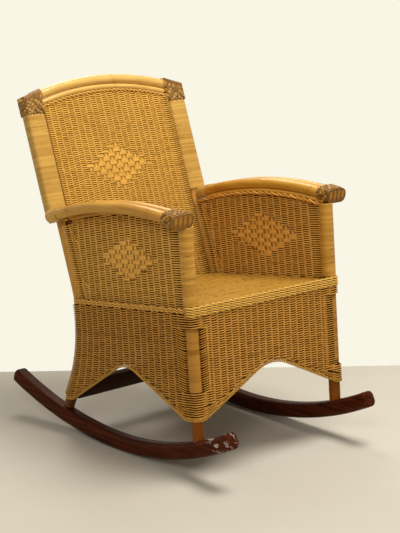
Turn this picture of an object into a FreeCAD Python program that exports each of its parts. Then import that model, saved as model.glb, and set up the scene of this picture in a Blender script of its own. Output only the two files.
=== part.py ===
import FreeCAD, Part
import os
import re
import Sketcher
from FreeCAD import Placement, Rotation, Vector

# Rattan rocking chair: rattan poles on two bent rockers, with woven panels, skirt, seat and peel bindings.
# The chair is laid out with its seat level: X across, Y to the rear from the front feet, Z up from the
# lowest point of the rockers. At the end it leans back on the rockers to where it balances.
# Lengths are in millimetres and angles in degrees.
SIZES = {
    # rest and clearances
    "rest_tilt": 6.7002,
    "seating_gap": 0.3,
    # rockers: a tighter bend in front and a flatter one behind
    "rocker_radius": 1023,
    "rocker_bottom_y": 223,
    "rocker_rear_radius": 1310,
    "rocker_joint_y": 385,
    "rocker_width": 42,
    "rocker_height": 42,
    "rocker_top_round": 13,
    "rocker_bottom_round": 16,
    "rocker_end_round": 7,
    "rocker_front_reach": 126,
    "rocker_rear_reach": 774,
    # front legs
    "leg_x": 241,
    "leg_diameter": 30,
    "leg_lean": 2.7,
    "leg_wrap_thickness": 3,
    # rear posts, bent at the seat
    "post_x": 234.5,
    "post_diameter": 30,
    "bend_y": 424,
    "bend_z": 291,
    "bend_radius": 350,
    "back_rake": 12.5,
    "leg_sweep": 32.7,
    "stretcher_diameter": 28,
    "stretcher_height": 124,
    # back
    "stile_pole_diameter": 24,
    "stile_wrap_thickness": 2.5,
    "stile_wrap_round": 13,
    "bow_apex": 697,
    "bow_radius": 820,
    "upper_bow_diameter": 27,
    "lower_bow_diameter": 15,
    "corner_binding_thickness": 1.5,
    "corner_binding_height": 40,
    "corner_binding_round": 9,
    # arms
    "arm_x": 264,
    "arm_pole_diameter": 30,
    "arm_height": 649,
    "arm_radius": 1113,
    "arm_overhang": 40,
    "arm_binding_thickness": 4,
    "arm_binding_length": 36,
    "arm_binding_round": 17,
    "arm_lashing_thickness": 2.5,
    "arm_lashing_length": 42,
    "under_arm_diameter": 12,
    "under_arm_x": 238,
    # seat
    "seat_height": 398,
    "seat_thickness": 10,
    "seat_step": 5,
    "seat_rail_diameter": 25,
    "bearer_diameter": 20,
    "bearer_x": 85,
    # woven sheets and borders: the sheets stand out in ribs over their stakes, with furrows between
    "panel_thickness": 6,
    "furrow_radius": 6.5,
    "furrow_depth": 1.8,
    "furrow_margin": 5.4,
    "back_rib_count": 21,
    "arm_rib_count": 24,
    "side_braid_height": 13,
    "side_braid_thickness": 8.5,
    "side_braid_round": 4,
    "front_braid_height": 25,
    "front_braid_thickness": 9,
    "front_braid_round": 4,
    "hem_thickness": 10,
    "hem_height": 8,
    "skirt_foot_height": 119,
    "front_arch_inset": 9,
    "front_arch_peak": 232,
    "front_arch_round": 118,
    "side_arch_front": 20,
    "side_arch_rear": 500,
    "side_arch_peak_y": 245,
    "side_arch_peak": 243,
    "side_arch_round": 85,
    "arch_foot_round": 34,
    "window_width": 20,
    "window_head": 48.7,
    "window_sill": 64,
}

doc = FreeCAD.newDocument("RattanRocker")
sheet = doc.addObject("Spreadsheet::Sheet", "Sizes")
for row, (name, number) in enumerate(SIZES.items(), 1):
    sheet.set(f"A{row}", name)
    sheet.set(f"B{row}", str(number))
    sheet.setAlias(f"B{row}", name)
doc.recompute()

WORDS = re.compile(r"\b(" + "|".join(SIZES) + r")\b")
ACROSS, ALONG, UP = Vector(1, 0, 0), Vector(0, 1, 0), Vector(0, 0, 1)
SIDES = (("left", -1), ("right", 1))
parts = {}


def value(text):
    """The number that a formula of the sheet's sizes gives."""
    return float(sheet.evalExpression(text))


def bind(item, path, text):
    """Ties one property of an object to a formula of the sheet's sizes."""
    item.setExpression(path, WORDS.sub(r"Sizes.\1", text))


def seen_from(y0, z0, turn, y, z):
    """A point of the side view, as formulas, in a frame that is moved to y0, z0 and turned about X."""
    dy, dz = f"({y} - ({y0}))", f"({z} - ({z0}))"
    return (f"({dy} * cos({turn}) + {dz} * sin({turn}))", f"({dz} * cos({turn}) - {dy} * sin({turn}))")


# Formulas that several pieces share

LEG_RADIUS = "(leg_diameter / 2)"
POST_RADIUS = "(post_diameter / 2)"
STILE_RADIUS = "(stile_pole_diameter / 2)"
ARM_RADIUS = "(arm_pole_diameter / 2)"
WRAP_RADIUS = f"({LEG_RADIUS} + leg_wrap_thickness)"
ROCKER_SINE = "((rocker_joint_y - rocker_bottom_y) / rocker_radius)"
ROCKER_GROWTH = "(rocker_rear_radius - rocker_radius)"
REAR_ROCKER_Y = f"(rocker_bottom_y - {ROCKER_GROWTH} * {ROCKER_SINE})"
REAR_ROCKER_Z = f"(rocker_radius + {ROCKER_GROWTH} * sqrt(1 - {ROCKER_SINE} ^ 2))"
FOOT_Z = "(rocker_radius - sqrt((rocker_radius - rocker_height) ^ 2 - rocker_bottom_y ^ 2))"
ARM_Z = "(arm_height - arm_radius)"
ARM_Y = f"(bend_y + ({ARM_Z} - bend_z) * tan(back_rake) - ({POST_RADIUS} + seating_gap) / cos(back_rake))"
ARM_FRONT = f"asin(({ARM_Y} + arm_overhang) / arm_radius)"
UNDER_ARM_OFFSET = f"(under_arm_x - arm_x + {ARM_RADIUS} + seating_gap / 2)"
UNDER_ARM_DROP = f"sqrt(({ARM_RADIUS} + under_arm_diameter / 2 + seating_gap) ^ 2 - {UNDER_ARM_OFFSET} ^ 2)"
UNDER_ARM = f"(arm_radius - {UNDER_ARM_DROP})"
STILE_X = f"(post_x + {POST_RADIUS} + {STILE_RADIUS} + seating_gap)"
STILE_INNER = f"(post_x - {POST_RADIUS} - stile_wrap_thickness - seating_gap)"
STILE_OUTER = f"({STILE_X} + {STILE_RADIUS} + stile_wrap_thickness + seating_gap)"
STILE_MIDDLE = f"(({STILE_INNER} + {STILE_OUTER}) / 2)"
STILE_DEPTH = f"({POST_RADIUS} + stile_wrap_thickness + seating_gap)"
BOW_Z = "(bow_apex - bow_radius)"
BOW_DROP = f"sqrt(bow_radius ^ 2 - {STILE_MIDDLE} ^ 2)"
LOWER_BOW = "(bow_radius - upper_bow_diameter / 2 - lower_bow_diameter / 2 - seating_gap)"
BINDING_FOOT = f"({BOW_Z} + {BOW_DROP} - corner_binding_height)"
RAIL_Z = "(seat_height - seat_thickness - seat_rail_diameter / 2 - seating_gap)"
BRAID_Z = f"({RAIL_Z} + seat_rail_diameter / 2 + side_braid_height / 2 + seating_gap)"
PANEL_FOOT = "(seat_height - seat_step + seating_gap)"
SKIRT_TOP = f"({BRAID_Z} - side_braid_height / 2 - seating_gap)"
SKIRT_FOOT = "(skirt_foot_height + hem_height + seating_gap)"
FRONT_SPAN = "(leg_x - front_arch_inset)"
REAR_SPAN = f"(post_x - {POST_RADIUS} - front_arch_inset)"
BRAID_TOP = f"(seat_height - {FOOT_Z} + front_braid_height / 4)"
LEG_HUG = f"({LEG_RADIUS} + seating_gap)"
POST_HUG = f"({POST_RADIUS} + seating_gap)"
BEND_TOP = "(bend_radius * tan((back_rake + leg_sweep) / 2))"
BEND_Y = f"(bend_y + bend_radius * cos(back_rake) + {BEND_TOP} * sin(back_rake))"
BEND_Z = f"(bend_z - bend_radius * sin(back_rake) + {BEND_TOP} * cos(back_rake))"
FRONT_RAIL_Y = f"(-({RAIL_Z} - {FOOT_Z}) * tan(leg_lean))"
REAR_RAIL_Y = f"({BEND_Y} - sqrt(bend_radius ^ 2 - ({RAIL_Z} - {BEND_Z}) ^ 2))"
REAR_FOOT_Y = f"(bend_y + (bend_z - {SKIRT_FOOT}) * tan(leg_sweep))"
SIDE_SPLAY = f"atan((leg_x + {LEG_RADIUS} - post_x - {POST_RADIUS}) / {REAR_FOOT_Y})"
POST_SPLAY = f"atan((leg_x - post_x) / {REAR_RAIL_Y})"


def beside(x, splay):
    """For each side, a frame at a distance from the middle that draws in towards the rear by an angle."""
    return {sign: Placement(Vector(sign * value(x), 0, 0), Rotation(UP, sign * value(splay)))
            for side, sign in SIDES}


# Frames of the leaning groups: along the front legs, along the upper rear posts, along each side against
# the outside of the front leg and the rear post, and from the middle of that leg to the middle of that post

CHAIR = Placement()
FRONT = Placement(Vector(0, 0, value(FOOT_Z)), Rotation(ACROSS, value("leg_lean")))
BACK = Placement(Vector(0, value("bend_y"), value("bend_z")), Rotation(ACROSS, -value("back_rake")))
FLANK = beside(f"leg_x + {LEG_HUG}", SIDE_SPLAY)
IN_LINE = beside("leg_x", POST_SPLAY)


def in_front(y, z):
    return seen_from("0", FOOT_Z, "leg_lean", y, z)


def in_back(y, z):
    return seen_from("bend_y", "bend_z", "-back_rake", y, z)


# Sketch and feature helpers

def new_body(label, frame=CHAIR):
    body = doc.addObject("PartDesign::Body", label)
    parts[label] = (body, frame)
    return body


def new_sketch(body, plane, offset="0"):
    """A sketch on an origin plane; offset is its place along +Z, +X, or for the XZ plane along +Y."""
    sketch = body.newObject("Sketcher::SketchObject", "Profile")
    support = next(f for f in body.Origin.OriginFeatures if f.Role == plane)
    sketch.AttachmentSupport = [(support, "")]
    sketch.MapMode = "FlatFace"
    bind(sketch, "AttachmentOffset.Base.z", f"-({offset})" if plane == "XZ_Plane" else offset)
    return sketch


def constrain(sketch, text, kind, *where):
    index = sketch.addConstraint(Sketcher.Constraint(kind, *where, value(text)))
    bind(sketch, f"Constraints[{index}]", text)


def pin(sketch, geometry, point, x, y):
    """Ties a sketch point to two formulas."""
    for kind, text, axis in (("DistanceX", x, -2), ("DistanceY", y, -1)):
        if text == "0":
            sketch.addConstraint(Sketcher.Constraint("PointOnObject", geometry, point, axis))
        else:
            constrain(sketch, text, kind, -1, 1, geometry, point)


def draw_circle(sketch, x, y, radius):
    centre = Vector(value(x), value(y), 0)
    geometry = sketch.addGeometry(Part.Circle(centre, UP, value(radius)))
    pin(sketch, geometry, 3, x, y)
    constrain(sketch, radius, "Radius", geometry)


def draw_axis(sketch, x, y, length):
    """A construction line along the sketch's X, to turn a profile about."""
    start = Vector(value(x), value(y), 0)
    end = start + Vector(value(length), 0, 0)
    geometry = sketch.addGeometry(Part.LineSegment(start, end), True)
    sketch.addConstraint(Sketcher.Constraint("Horizontal", geometry))
    pin(sketch, geometry, 1, x, y)
    constrain(sketch, length, "DistanceX", geometry, 1, geometry, 2)


def arc_between(start, end, radius, side):
    """The short arc from start to end; side is 1 where it bulges to the left of the way."""
    middle, chord = (start + end) * 0.5, end - start
    rise = radius - (radius ** 2 - (chord.Length / 2) ** 2) ** 0.5
    return Part.Arc(start, middle + Vector(-chord.y, chord.x, 0).normalize() * (side * rise), end)


def draw_outline(sketch, corners, arcs=None):
    """A closed outline through corners given as formulas; arcs gives the radius and side of bent edges."""
    arcs = arcs or {}
    places = [Vector(value(x), value(y), 0) for x, y in corners]
    ends = []
    for index, start in enumerate(places):
        end = places[(index + 1) % len(places)]
        if index in arcs:
            radius, side = arcs[index]
            geometry = sketch.addGeometry(arc_between(start, end, value(radius), side))
            first, last = (sketch.getPoint(geometry, point) for point in (1, 2))
            swapped = (first - start).Length > (last - start).Length
            ends.append((geometry, 2, 1) if swapped else (geometry, 1, 2))
        else:
            ends.append((sketch.addGeometry(Part.LineSegment(start, end)), 1, 2))
    for index, (geometry, first, last) in enumerate(ends):
        follower = ends[(index + 1) % len(ends)]
        sketch.addConstraint(Sketcher.Constraint("Coincident", geometry, last, follower[0], follower[1]))
        pin(sketch, geometry, first, *corners[index])
    for index, (radius, side) in arcs.items():
        constrain(sketch, radius, "Radius", ends[index][0])


def draw_box(sketch, left, low, right, high):
    draw_outline(sketch, [(left, low), (right, low), (right, high), (left, high)])


def pad(body, sketch, length, middle=False, reverse=False):
    feature = body.newObject("PartDesign::Pad", "Pad")
    feature.Profile = sketch
    bind(feature, "Length", length)
    feature.Midplane = middle
    feature.Reversed = reverse
    return feature


def revolve(body, sketch, first, second):
    """Turns a profile about its axis, by first towards the front or left and second the other way."""
    feature = body.newObject("PartDesign::Revolution", "Revolution")
    feature.Profile = sketch
    feature.ReferenceAxis = (sketch, ["Axis0"])
    feature.Type = "TwoAngles"
    bind(feature, "Angle", first)
    bind(feature, "Angle2", second)
    return feature


def cut_through(body, sketch, kind, **settings):
    """A pocket or groove that has to take material away."""
    doc.recompute()
    before = body.Shape.Volume
    feature = body.newObject(kind, "Cut")
    feature.Profile = sketch
    for name, setting in settings.items():
        setattr(feature, name, setting)
    doc.recompute()
    if not body.Shape.Volume < before - 1:
        raise RuntimeError(f"{body.Label}: a cut takes nothing away")
    return feature


def turn_away(body, sketch, angle):
    """Cuts a profile away over an angle about its axis, half of it to each side."""
    axis = (sketch, ["Axis0"])
    cut_through(body, sketch, "PartDesign::Groove", ReferenceAxis=axis, Angle=angle, Midplane=True)


def cut_ring(body, centre, near, far):
    """Cuts away the ring between two radii about a line along X; centre is its place in the side view."""
    y, z = centre
    sketch = new_sketch(body, "XZ_Plane", y)
    draw_box(sketch, "-2 * leg_x", f"{z} + {near}", "2 * leg_x", f"{z} + {far}")
    draw_axis(sketch, "-leg_x", z, "2 * leg_x")
    turn_away(body, sketch, 80)


def cut_furrows(body, axis, first, last, ribs):
    """Hollows both faces of a sheet between its upright ribs; axis is the way from furrow to furrow."""
    sketch = new_sketch(body, "XY_Plane")
    depth = "(panel_thickness / 2 + furrow_radius - furrow_depth)"
    for face in (f"-{depth}", depth):
        place = (first, face) if axis == "H_Axis" else (face, first)
        draw_circle(sketch, *place, "furrow_radius")
    furrow = cut_through(body, sketch, "PartDesign::Pocket", Type="ThroughAll", Midplane=True)
    row = body.newObject("PartDesign::LinearPattern", "Furrows")
    row.Originals = [furrow]
    row.Direction = (sketch, [axis])
    bind(row, "Length", f"{last} - ({first})")
    bind(row, "Occurrences", f"{ribs} + 1")
    body.Tip = row


def cut_under_bow(body):
    """Cuts the top of a piece of the back to the underside of the upper bow."""
    sketch = new_sketch(body, "YZ_Plane")
    low = f"{BOW_Z} + bow_radius - upper_bow_diameter / 2 - seating_gap"
    draw_box(sketch, "-post_diameter", low, "post_diameter", f"{low} + bow_radius / 4")
    draw_axis(sketch, "-post_diameter", BOW_Z, "2 * post_diameter")
    turn_away(body, sketch, 60)


def round_edges(body, chosen, radius):
    """Fillets the edges of the body's tip that chosen accepts."""
    doc.recompute()
    tip = body.Tip
    names = [f"Edge{i}" for i, edge in enumerate(tip.Shape.Edges, 1) if chosen(edge)]
    feature = body.newObject("PartDesign::Fillet", "Fillet")
    feature.Base = (tip, names)
    bind(feature, "Radius", radius)
    return feature


def flat_face(shape, towards):
    """The name of the flat face that lies furthest in a direction."""
    faces = [(face.CenterOfMass.dot(towards), i) for i, face in enumerate(shape.Faces, 1)
             if isinstance(face.Surface, Part.Plane)]
    return f"Face{max(faces)[1]}"


def runs_along(direction):
    """Accepts straight edges along a direction."""
    def chosen(edge):
        return isinstance(edge.Curve, Part.Line) and abs(edge.Curve.Direction.dot(direction)) > 0.999
    return chosen


def stands_at(direction, *places):
    """Accepts straight edges along a direction that pass through one of the places."""
    along = runs_along(direction)

    def chosen(edge):
        if not along(edge):
            return False
        offsets = [edge.CenterOfMass - place for place in places]
        return any((o - direction * o.dot(direction)).Length < 0.5 for o in offsets)
    return chosen


def pole_across(label, y, z, half_length, diameter):
    """A straight pole from side to side."""
    body = new_body(label)
    sketch = new_sketch(body, "YZ_Plane")
    draw_circle(sketch, y, z, f"{diameter} / 2")
    pad(body, sketch, f"2 * ({half_length})", middle=True)


def pole_along(label, x, z, diameter, front, rear):
    """A straight pole from front to rear."""
    body = new_body(label)
    sketch = new_sketch(body, "XZ_Plane", front)
    draw_circle(sketch, x, z, f"{diameter} / 2")
    pad(body, sketch, f"{rear} - ({front})", reverse=True)


def bent_pole(label, x, radius, diameter, front, rear):
    """A pole bent on the arms' centre line; front and rear are its angles from the highest point."""
    body = new_body(label)
    sketch = new_sketch(body, "XZ_Plane", ARM_Y)
    draw_circle(sketch, x, f"{ARM_Z} + {radius}", f"{diameter} / 2")
    draw_axis(sketch, "-leg_x", ARM_Z, "2 * leg_x")
    revolve(body, sketch, front, rear)


# Rockers, legs and posts

def make_rocker(side, sign):
    """A bar bent in two tangent arcs, its section nearly round."""
    body = new_body(f"{side}_rocker")
    sketch = new_sketch(body, "YZ_Plane", f"{sign} * leg_x")
    top, rear_top = "(rocker_radius - rocker_height)", "(rocker_rear_radius - rocker_height)"
    front = "asin((rocker_front_reach + rocker_bottom_y) / (rocker_radius - rocker_height / 2))"
    rear = f"asin((rocker_rear_reach - {REAR_ROCKER_Y}) / (rocker_rear_radius - rocker_height / 2))"

    def tip(radius):
        return f"rocker_bottom_y - {radius} * sin({front})", f"rocker_radius - {radius} * cos({front})"

    def joint(radius):
        return (f"rocker_bottom_y + {radius} * {ROCKER_SINE}",
                f"rocker_radius - {radius} * sqrt(1 - {ROCKER_SINE} ^ 2)")

    def tail(radius):
        return f"{REAR_ROCKER_Y} + {radius} * sin({rear})", f"{REAR_ROCKER_Z} - {radius} * cos({rear})"

    draw_outline(sketch, [tip("rocker_radius"), joint("rocker_radius"), tail("rocker_rear_radius"),
                          tail(rear_top), joint(top), tip(top)],
                 {0: ("rocker_radius", -1), 1: ("rocker_rear_radius", -1), 3: (rear_top, 1), 4: (top, 1)})
    pad(body, sketch, "rocker_width", middle=True)

    def bent(*radii):
        """Accepts arcs of the given radii."""
        sizes = [value(radius) for radius in radii]

        def chosen(edge):
            round_edge = isinstance(edge.Curve, Part.Circle)
            return round_edge and any(abs(edge.Curve.Radius - size) < 0.5 for size in sizes)
        return chosen

    round_edges(body, bent("rocker_radius", "rocker_rear_radius"), "rocker_bottom_round")
    round_edges(body, bent(top, rear_top), "rocker_top_round")
    doc.recompute()
    ends = [edge for face in body.Tip.Shape.Faces if abs(face.normalAt(0, 0).x) < 0.1
            and isinstance(face.Surface, Part.Plane) for edge in face.Edges]
    round_edges(body, lambda edge: any(edge.isSame(other) for other in ends), "rocker_end_round")


def cut_at_rocker(body, sign, centre, radius):
    """Cuts a leg's foot to sit on the rounded top of its rocker."""
    top = f"({radius} - rocker_height - seating_gap)"
    half, corner = "(rocker_width / 2 + seating_gap)", "(rocker_top_round + seating_gap)"
    cut_ring(body, centre, f"-{top} - 4 * rocker_height", f"-{top} - rocker_top_round / 2")
    y, z = centre
    sketch = new_sketch(body, "XZ_Plane", y)
    left, right = f"{sign} * leg_x - {half}", f"{sign} * leg_x + {half}"
    high, low = f"{z} - {top}", f"{z} - {top} - rocker_height"
    shoulder = f"{high} - {corner}"
    corners = [(left, low), (right, low), (right, shoulder), (f"{right} - {corner}", high),
               (f"{left} + {corner}", high), (left, shoulder)]
    draw_outline(sketch, corners, {2: (corner, -1), 4: (corner, -1)})
    draw_axis(sketch, "-leg_x", z, "2 * leg_x")
    turn_away(body, sketch, 80)


def make_front_leg(side, sign):
    body = new_body(f"front_{side}_leg", FRONT)
    sketch = new_sketch(body, "XY_Plane", "-leg_diameter")
    draw_circle(sketch, f"{sign} * leg_x", "0", LEG_RADIUS)
    pad(body, sketch, "arm_height")
    cut_at_rocker(body, sign, in_front("rocker_bottom_y", "rocker_radius"), "rocker_radius")
    cut_at_arm(body)


def cut_at_arm(body):
    """Cuts the top of a front post to the underside of the arm's binding."""
    low = f"(arm_radius - {ARM_RADIUS} - arm_binding_thickness - seating_gap)"
    cut_ring(body, in_front(ARM_Y, ARM_Z), low, f"{low} + arm_height / 4")


def make_leg_wrap(side, sign):
    """Peel wound round the front post from the seat braid to the arm."""
    body = new_body(f"{side}_front_post_wrap", FRONT)
    sketch = new_sketch(body, "XY_Plane", BRAID_TOP)
    draw_circle(sketch, f"{sign} * leg_x", "0", WRAP_RADIUS)
    draw_circle(sketch, f"{sign} * leg_x", "0", LEG_HUG)
    pad(body, sketch, "arm_height - seat_height")
    cut_at_arm(body)


def make_rear_post(side, sign):
    """One pole from the rocker to the top of the back, bent at the seat."""
    body = new_body(f"rear_{side}_post", BACK)
    sketch = new_sketch(body, "XY_Plane", BEND_TOP)
    draw_circle(sketch, f"{sign} * post_x", "0", POST_RADIUS)
    draw_axis(sketch, "-post_x", "bend_radius", "2 * post_x")
    pad(body, sketch, f"bow_apex - {BEND_TOP}")
    bend = body.newObject("PartDesign::Revolution", "Bend")
    bend.Profile = sketch
    bend.ReferenceAxis = (sketch, ["Axis0"])
    bind(bend, "Angle", "back_rake + leg_sweep")
    doc.recompute()
    foot = body.newObject("PartDesign::Pad", "Foot")
    foot.Profile = (bend, [flat_face(bend.Shape, Vector(0, 1, -1))])
    bind(foot, "Length", f"({BEND_Z} - bend_radius * sin(leg_sweep)) / cos(leg_sweep)")
    cut_at_rocker(body, sign, in_back(REAR_ROCKER_Y, REAR_ROCKER_Z), "rocker_rear_radius")
    cut_under_bow(body)


def make_stile_pole(side, sign):
    """The second pole of the back's side, bound to the post and butted by the arm."""
    body = new_body(f"{side}_back_pole", BACK)
    foot = f"({in_back(ARM_Y, ARM_Z)[1]} + arm_radius - {ARM_RADIUS})"
    sketch = new_sketch(body, "XY_Plane", foot)
    draw_circle(sketch, f"{sign} * {STILE_X}", "0", STILE_RADIUS)
    pad(body, sketch, f"bow_apex - {foot}")
    cut_under_bow(body)


# Back

def bow(label, radius, diameter, half_width):
    body = new_body(label, BACK)
    sketch = new_sketch(body, "YZ_Plane")
    draw_circle(sketch, "0", f"{BOW_Z} + {radius}", f"{diameter} / 2")
    draw_axis(sketch, "-post_diameter", BOW_Z, "2 * post_diameter")
    half = f"asin({half_width} / {radius})"
    revolve(body, sketch, half, half)


def make_stile_wrap(side, sign):
    """Peel wound round both poles of the back's side."""
    body = new_body(f"{side}_back_wrap", BACK)
    foot = f"({in_back(ARM_Y, ARM_Z)[1]} + arm_radius + {ARM_RADIUS} + arm_lashing_thickness + seating_gap)"
    length = f"({BINDING_FOOT} - {foot} - seating_gap)"
    sketch = new_sketch(body, "XY_Plane", foot)
    near, far = (f"{sign} * {STILE_INNER}", f"{sign} * {STILE_OUTER}")[::sign]
    draw_box(sketch, near, f"-{STILE_DEPTH}", far, STILE_DEPTH)
    pad(body, sketch, length)
    round_edges(body, runs_along(UP), "stile_wrap_round")
    cut_stile_core(body, foot, length, sign)


def cut_stile_core(body, foot, height, sign):
    """Takes out the room for the two poles of the back's side, upwards from foot."""
    post, pole = f"{sign} * post_x", f"{sign} * {STILE_X}"
    slim = f"({STILE_RADIUS} + seating_gap)"
    for x, radius in ((post, POST_HUG), (pole, slim)):
        sketch = new_sketch(body, "XY_Plane", foot)
        draw_circle(sketch, x, "0", radius)
        cut_through(body, sketch, "PartDesign::Pocket", Length=value(height), Reversed=True)
    sketch = new_sketch(body, "XY_Plane", foot)
    near, far = (post, pole)[::sign]
    draw_box(sketch, near, f"-{slim}", far, slim)
    cut_through(body, sketch, "PartDesign::Pocket", Length=value(height), Reversed=True)


def make_corner_binding(side, sign):
    """Braided peel over the joint of the bow and the back's side."""
    body = new_body(f"top_{side}_binding", BACK)
    sketch = new_sketch(body, "XZ_Plane")
    top = f"{BOW_Z} + {BOW_DROP} + upper_bow_diameter / 2 + corner_binding_thickness"
    slope = f"({STILE_MIDDLE} / {BOW_DROP})"
    inner, outer = STILE_INNER, f"({STILE_OUTER} + corner_binding_thickness)"
    corners = [(inner, BINDING_FOOT), (outer, BINDING_FOOT),
               (outer, f"{top} - {slope} * ({outer} - {STILE_MIDDLE})"),
               (inner, f"{top} + {slope} * ({STILE_MIDDLE} - {inner})")]
    draw_outline(sketch, [(f"{sign} * {x}", z) for x, z in corners])
    pad(body, sketch, f"2 * ({STILE_DEPTH} + corner_binding_thickness)", middle=True)
    round_edges(body, lambda edge: not runs_along(ALONG)(edge), "corner_binding_round")
    cut_stile_core(body, BINDING_FOOT, "corner_binding_height", sign)
    arc = new_sketch(body, "YZ_Plane")
    draw_circle(arc, "0", f"{BOW_Z} + bow_radius", "upper_bow_diameter / 2 + seating_gap")
    draw_axis(arc, "-post_diameter", BOW_Z, "2 * post_diameter")
    whole = value(f"2 * asin({STILE_OUTER} / bow_radius)")
    turn_away(body, arc, whole)


def make_back_panel():
    """The woven sheet of the back, ribbed over its stakes, with its top under the bows."""
    body = new_body("back_panel", BACK)
    sketch = new_sketch(body, "XZ_Plane")
    top = f"({LOWER_BOW} - lower_bow_diameter / 2 - seating_gap)"
    side_top = f"{BOW_Z} + sqrt({top} ^ 2 - {STILE_INNER} ^ 2)"
    foot = f"({in_back(REAR_RAIL_Y, RAIL_Z)[1]} + seat_rail_diameter / 2 + seating_gap)"
    edge = f"({STILE_INNER} - seating_gap)"
    corners = [(f"-{edge}", foot), (edge, foot), (edge, side_top), (f"-{edge}", side_top)]
    draw_outline(sketch, corners, {2: (top, -1)})
    pad(body, sketch, "panel_thickness", middle=True)
    side = f"({edge} - furrow_margin)"
    cut_furrows(body, "H_Axis", f"-{side}", side, "back_rib_count")


# Arms

def make_arm(side, sign):
    """Two bent poles side by side, and a thin one under them that the arm panel hangs from."""
    pole = f"({ARM_RADIUS} + seating_gap / 2)"
    for name, x in (("inner", f"(arm_x - {pole})"), ("outer", f"(arm_x + {pole})")):
        bent_pole(f"{side}_arm_{name}_pole", f"{sign} * {x}", "arm_radius", "arm_pole_diameter",
                  ARM_FRONT, "back_rake")
    start = f"{ARM_FRONT} - atan((arm_binding_length + seating_gap) / arm_radius)"
    end = "back_rake * 1 deg - atan((arm_lashing_length + seating_gap) / arm_radius)"
    bent_pole(f"{side}_under_arm_pole", f"{sign} * under_arm_x", UNDER_ARM, "under_arm_diameter", start, end)


def arm_ring(body, sign, extra):
    """The outline round both arm poles, some way outside them, with the arms' centre line to turn about."""
    sketch = new_sketch(body, "XZ_Plane", ARM_Y)
    half, rise = f"(arm_pole_diameter + seating_gap / 2 + {extra})", f"({ARM_RADIUS} + {extra})"
    draw_box(sketch, f"{sign} * arm_x - {half}", f"{ARM_Z} + arm_radius - {rise}",
             f"{sign} * arm_x + {half}", f"{ARM_Z} + arm_radius + {rise}")
    draw_axis(sketch, "-leg_x", ARM_Z, "2 * leg_x")
    return sketch


def cut_arm_core(body, sign, **settings):
    """Takes out the room for the two poles of an arm."""
    pole, room = f"({ARM_RADIUS} + seating_gap / 2)", f"({ARM_RADIUS} + seating_gap)"
    middle, level = f"{sign} * arm_x", f"{ARM_Z} + arm_radius"
    sketches = [new_sketch(body, "XZ_Plane", ARM_Y) for step in range(3)]
    draw_circle(sketches[0], f"{middle} - {pole}", level, room)
    draw_circle(sketches[1], f"{middle} + {pole}", level, room)
    draw_box(sketches[2], f"{middle} - {pole}", f"{level} - {room}",
             f"{middle} + {pole}", f"{level} + {room}")
    for sketch in sketches:
        draw_axis(sketch, "-leg_x", ARM_Z, "2 * leg_x")
        cut_through(body, sketch, "PartDesign::Groove", ReferenceAxis=(sketch, ["Axis0"]), **settings)


def make_arm_binding(side, sign):
    """Braided peel over the front end of an arm, closed over the end grain."""
    body = new_body(f"{side}_arm_front_binding")
    cap = "atan((arm_binding_thickness + seating_gap) / arm_radius)"
    revolve(body, arm_ring(body, sign, "arm_binding_thickness"), f"{ARM_FRONT} + {cap}",
            f"atan(arm_binding_length / arm_radius) - {ARM_FRONT}")
    round_edges(body, lambda edge: isinstance(edge.Curve, Part.Circle), "arm_binding_round")
    cut_arm_core(body, sign, Type="TwoAngles", Angle=value(f"{ARM_FRONT} + atan(seating_gap / arm_radius)"),
                 Angle2=value("back_rake"))


def make_arm_lashing(side, sign):
    """Turns of pale peel round the rear end of an arm, where it butts on the back."""
    body = new_body(f"{side}_arm_rear_lashing")
    start = "atan(arm_lashing_length / arm_radius) - back_rake * 1 deg"
    corner = f"{ARM_RADIUS} + arm_lashing_thickness / 2"
    revolve(body, arm_ring(body, sign, "arm_lashing_thickness"), start, "back_rake")
    round_edges(body, lambda edge: isinstance(edge.Curve, Part.Circle), corner)
    cut_arm_core(body, sign, Angle=80, Midplane=True)


def make_arm_panel(side, sign):
    """The ribbed sheet under an arm, between the front post and the rear post, standing on the seat."""
    body = new_body(f"{side}_arm_panel", IN_LINE[sign])
    sketch = new_sketch(body, "YZ_Plane")
    top = f"({UNDER_ARM} - under_arm_diameter / 2 - seating_gap)"

    def front_y(z):
        return f"(({WRAP_RADIUS} + seating_gap) / cos(leg_lean) - ({z} - {FOOT_Z}) * tan(leg_lean))"

    def rear_y(z):
        return f"(bend_y + ({z} - bend_z) * tan(back_rake) - {POST_HUG} / cos(back_rake))"

    front_top = front_y(f"({ARM_Z} + sqrt({top} ^ 2 - {ARM_Y} ^ 2))")
    rear_top = f"({ARM_Y} + {top} * sin(back_rake))"
    corners = [(front_y(PANEL_FOOT), PANEL_FOOT), (rear_y(PANEL_FOOT), PANEL_FOOT),
               (rear_top, f"{ARM_Z} + {top} * cos(back_rake)"),
               (front_top, f"{ARM_Z} + sqrt({top} ^ 2 - ({ARM_Y} - {front_top}) ^ 2)")]
    draw_outline(sketch, corners, {2: (top, -1)})
    pad(body, sketch, "panel_thickness", middle=True)
    first, last = f"({front_y(PANEL_FOOT)} + furrow_margin)", f"({rear_top} - furrow_margin)"
    cut_furrows(body, "V_Axis", first, last, "arm_rib_count")


# Seat

def make_side_braid(side, sign):
    """A row of braid along the outside of the seat's side."""
    body = new_body(f"{side}_seat_braid", FLANK[sign])
    start = f"({FRONT_RAIL_Y} + seating_gap)"
    sketch = new_sketch(body, "XZ_Plane", start)
    near, far = ("0", f"{sign} * side_braid_thickness")[::sign]
    draw_box(sketch, near, f"{BRAID_Z} - side_braid_height / 2", far, f"{BRAID_Z} + side_braid_height / 2")
    pad(body, sketch, f"{REAR_RAIL_Y} - {start}", reverse=True)
    round_edges(body, runs_along(ALONG), "side_braid_round")


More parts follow.
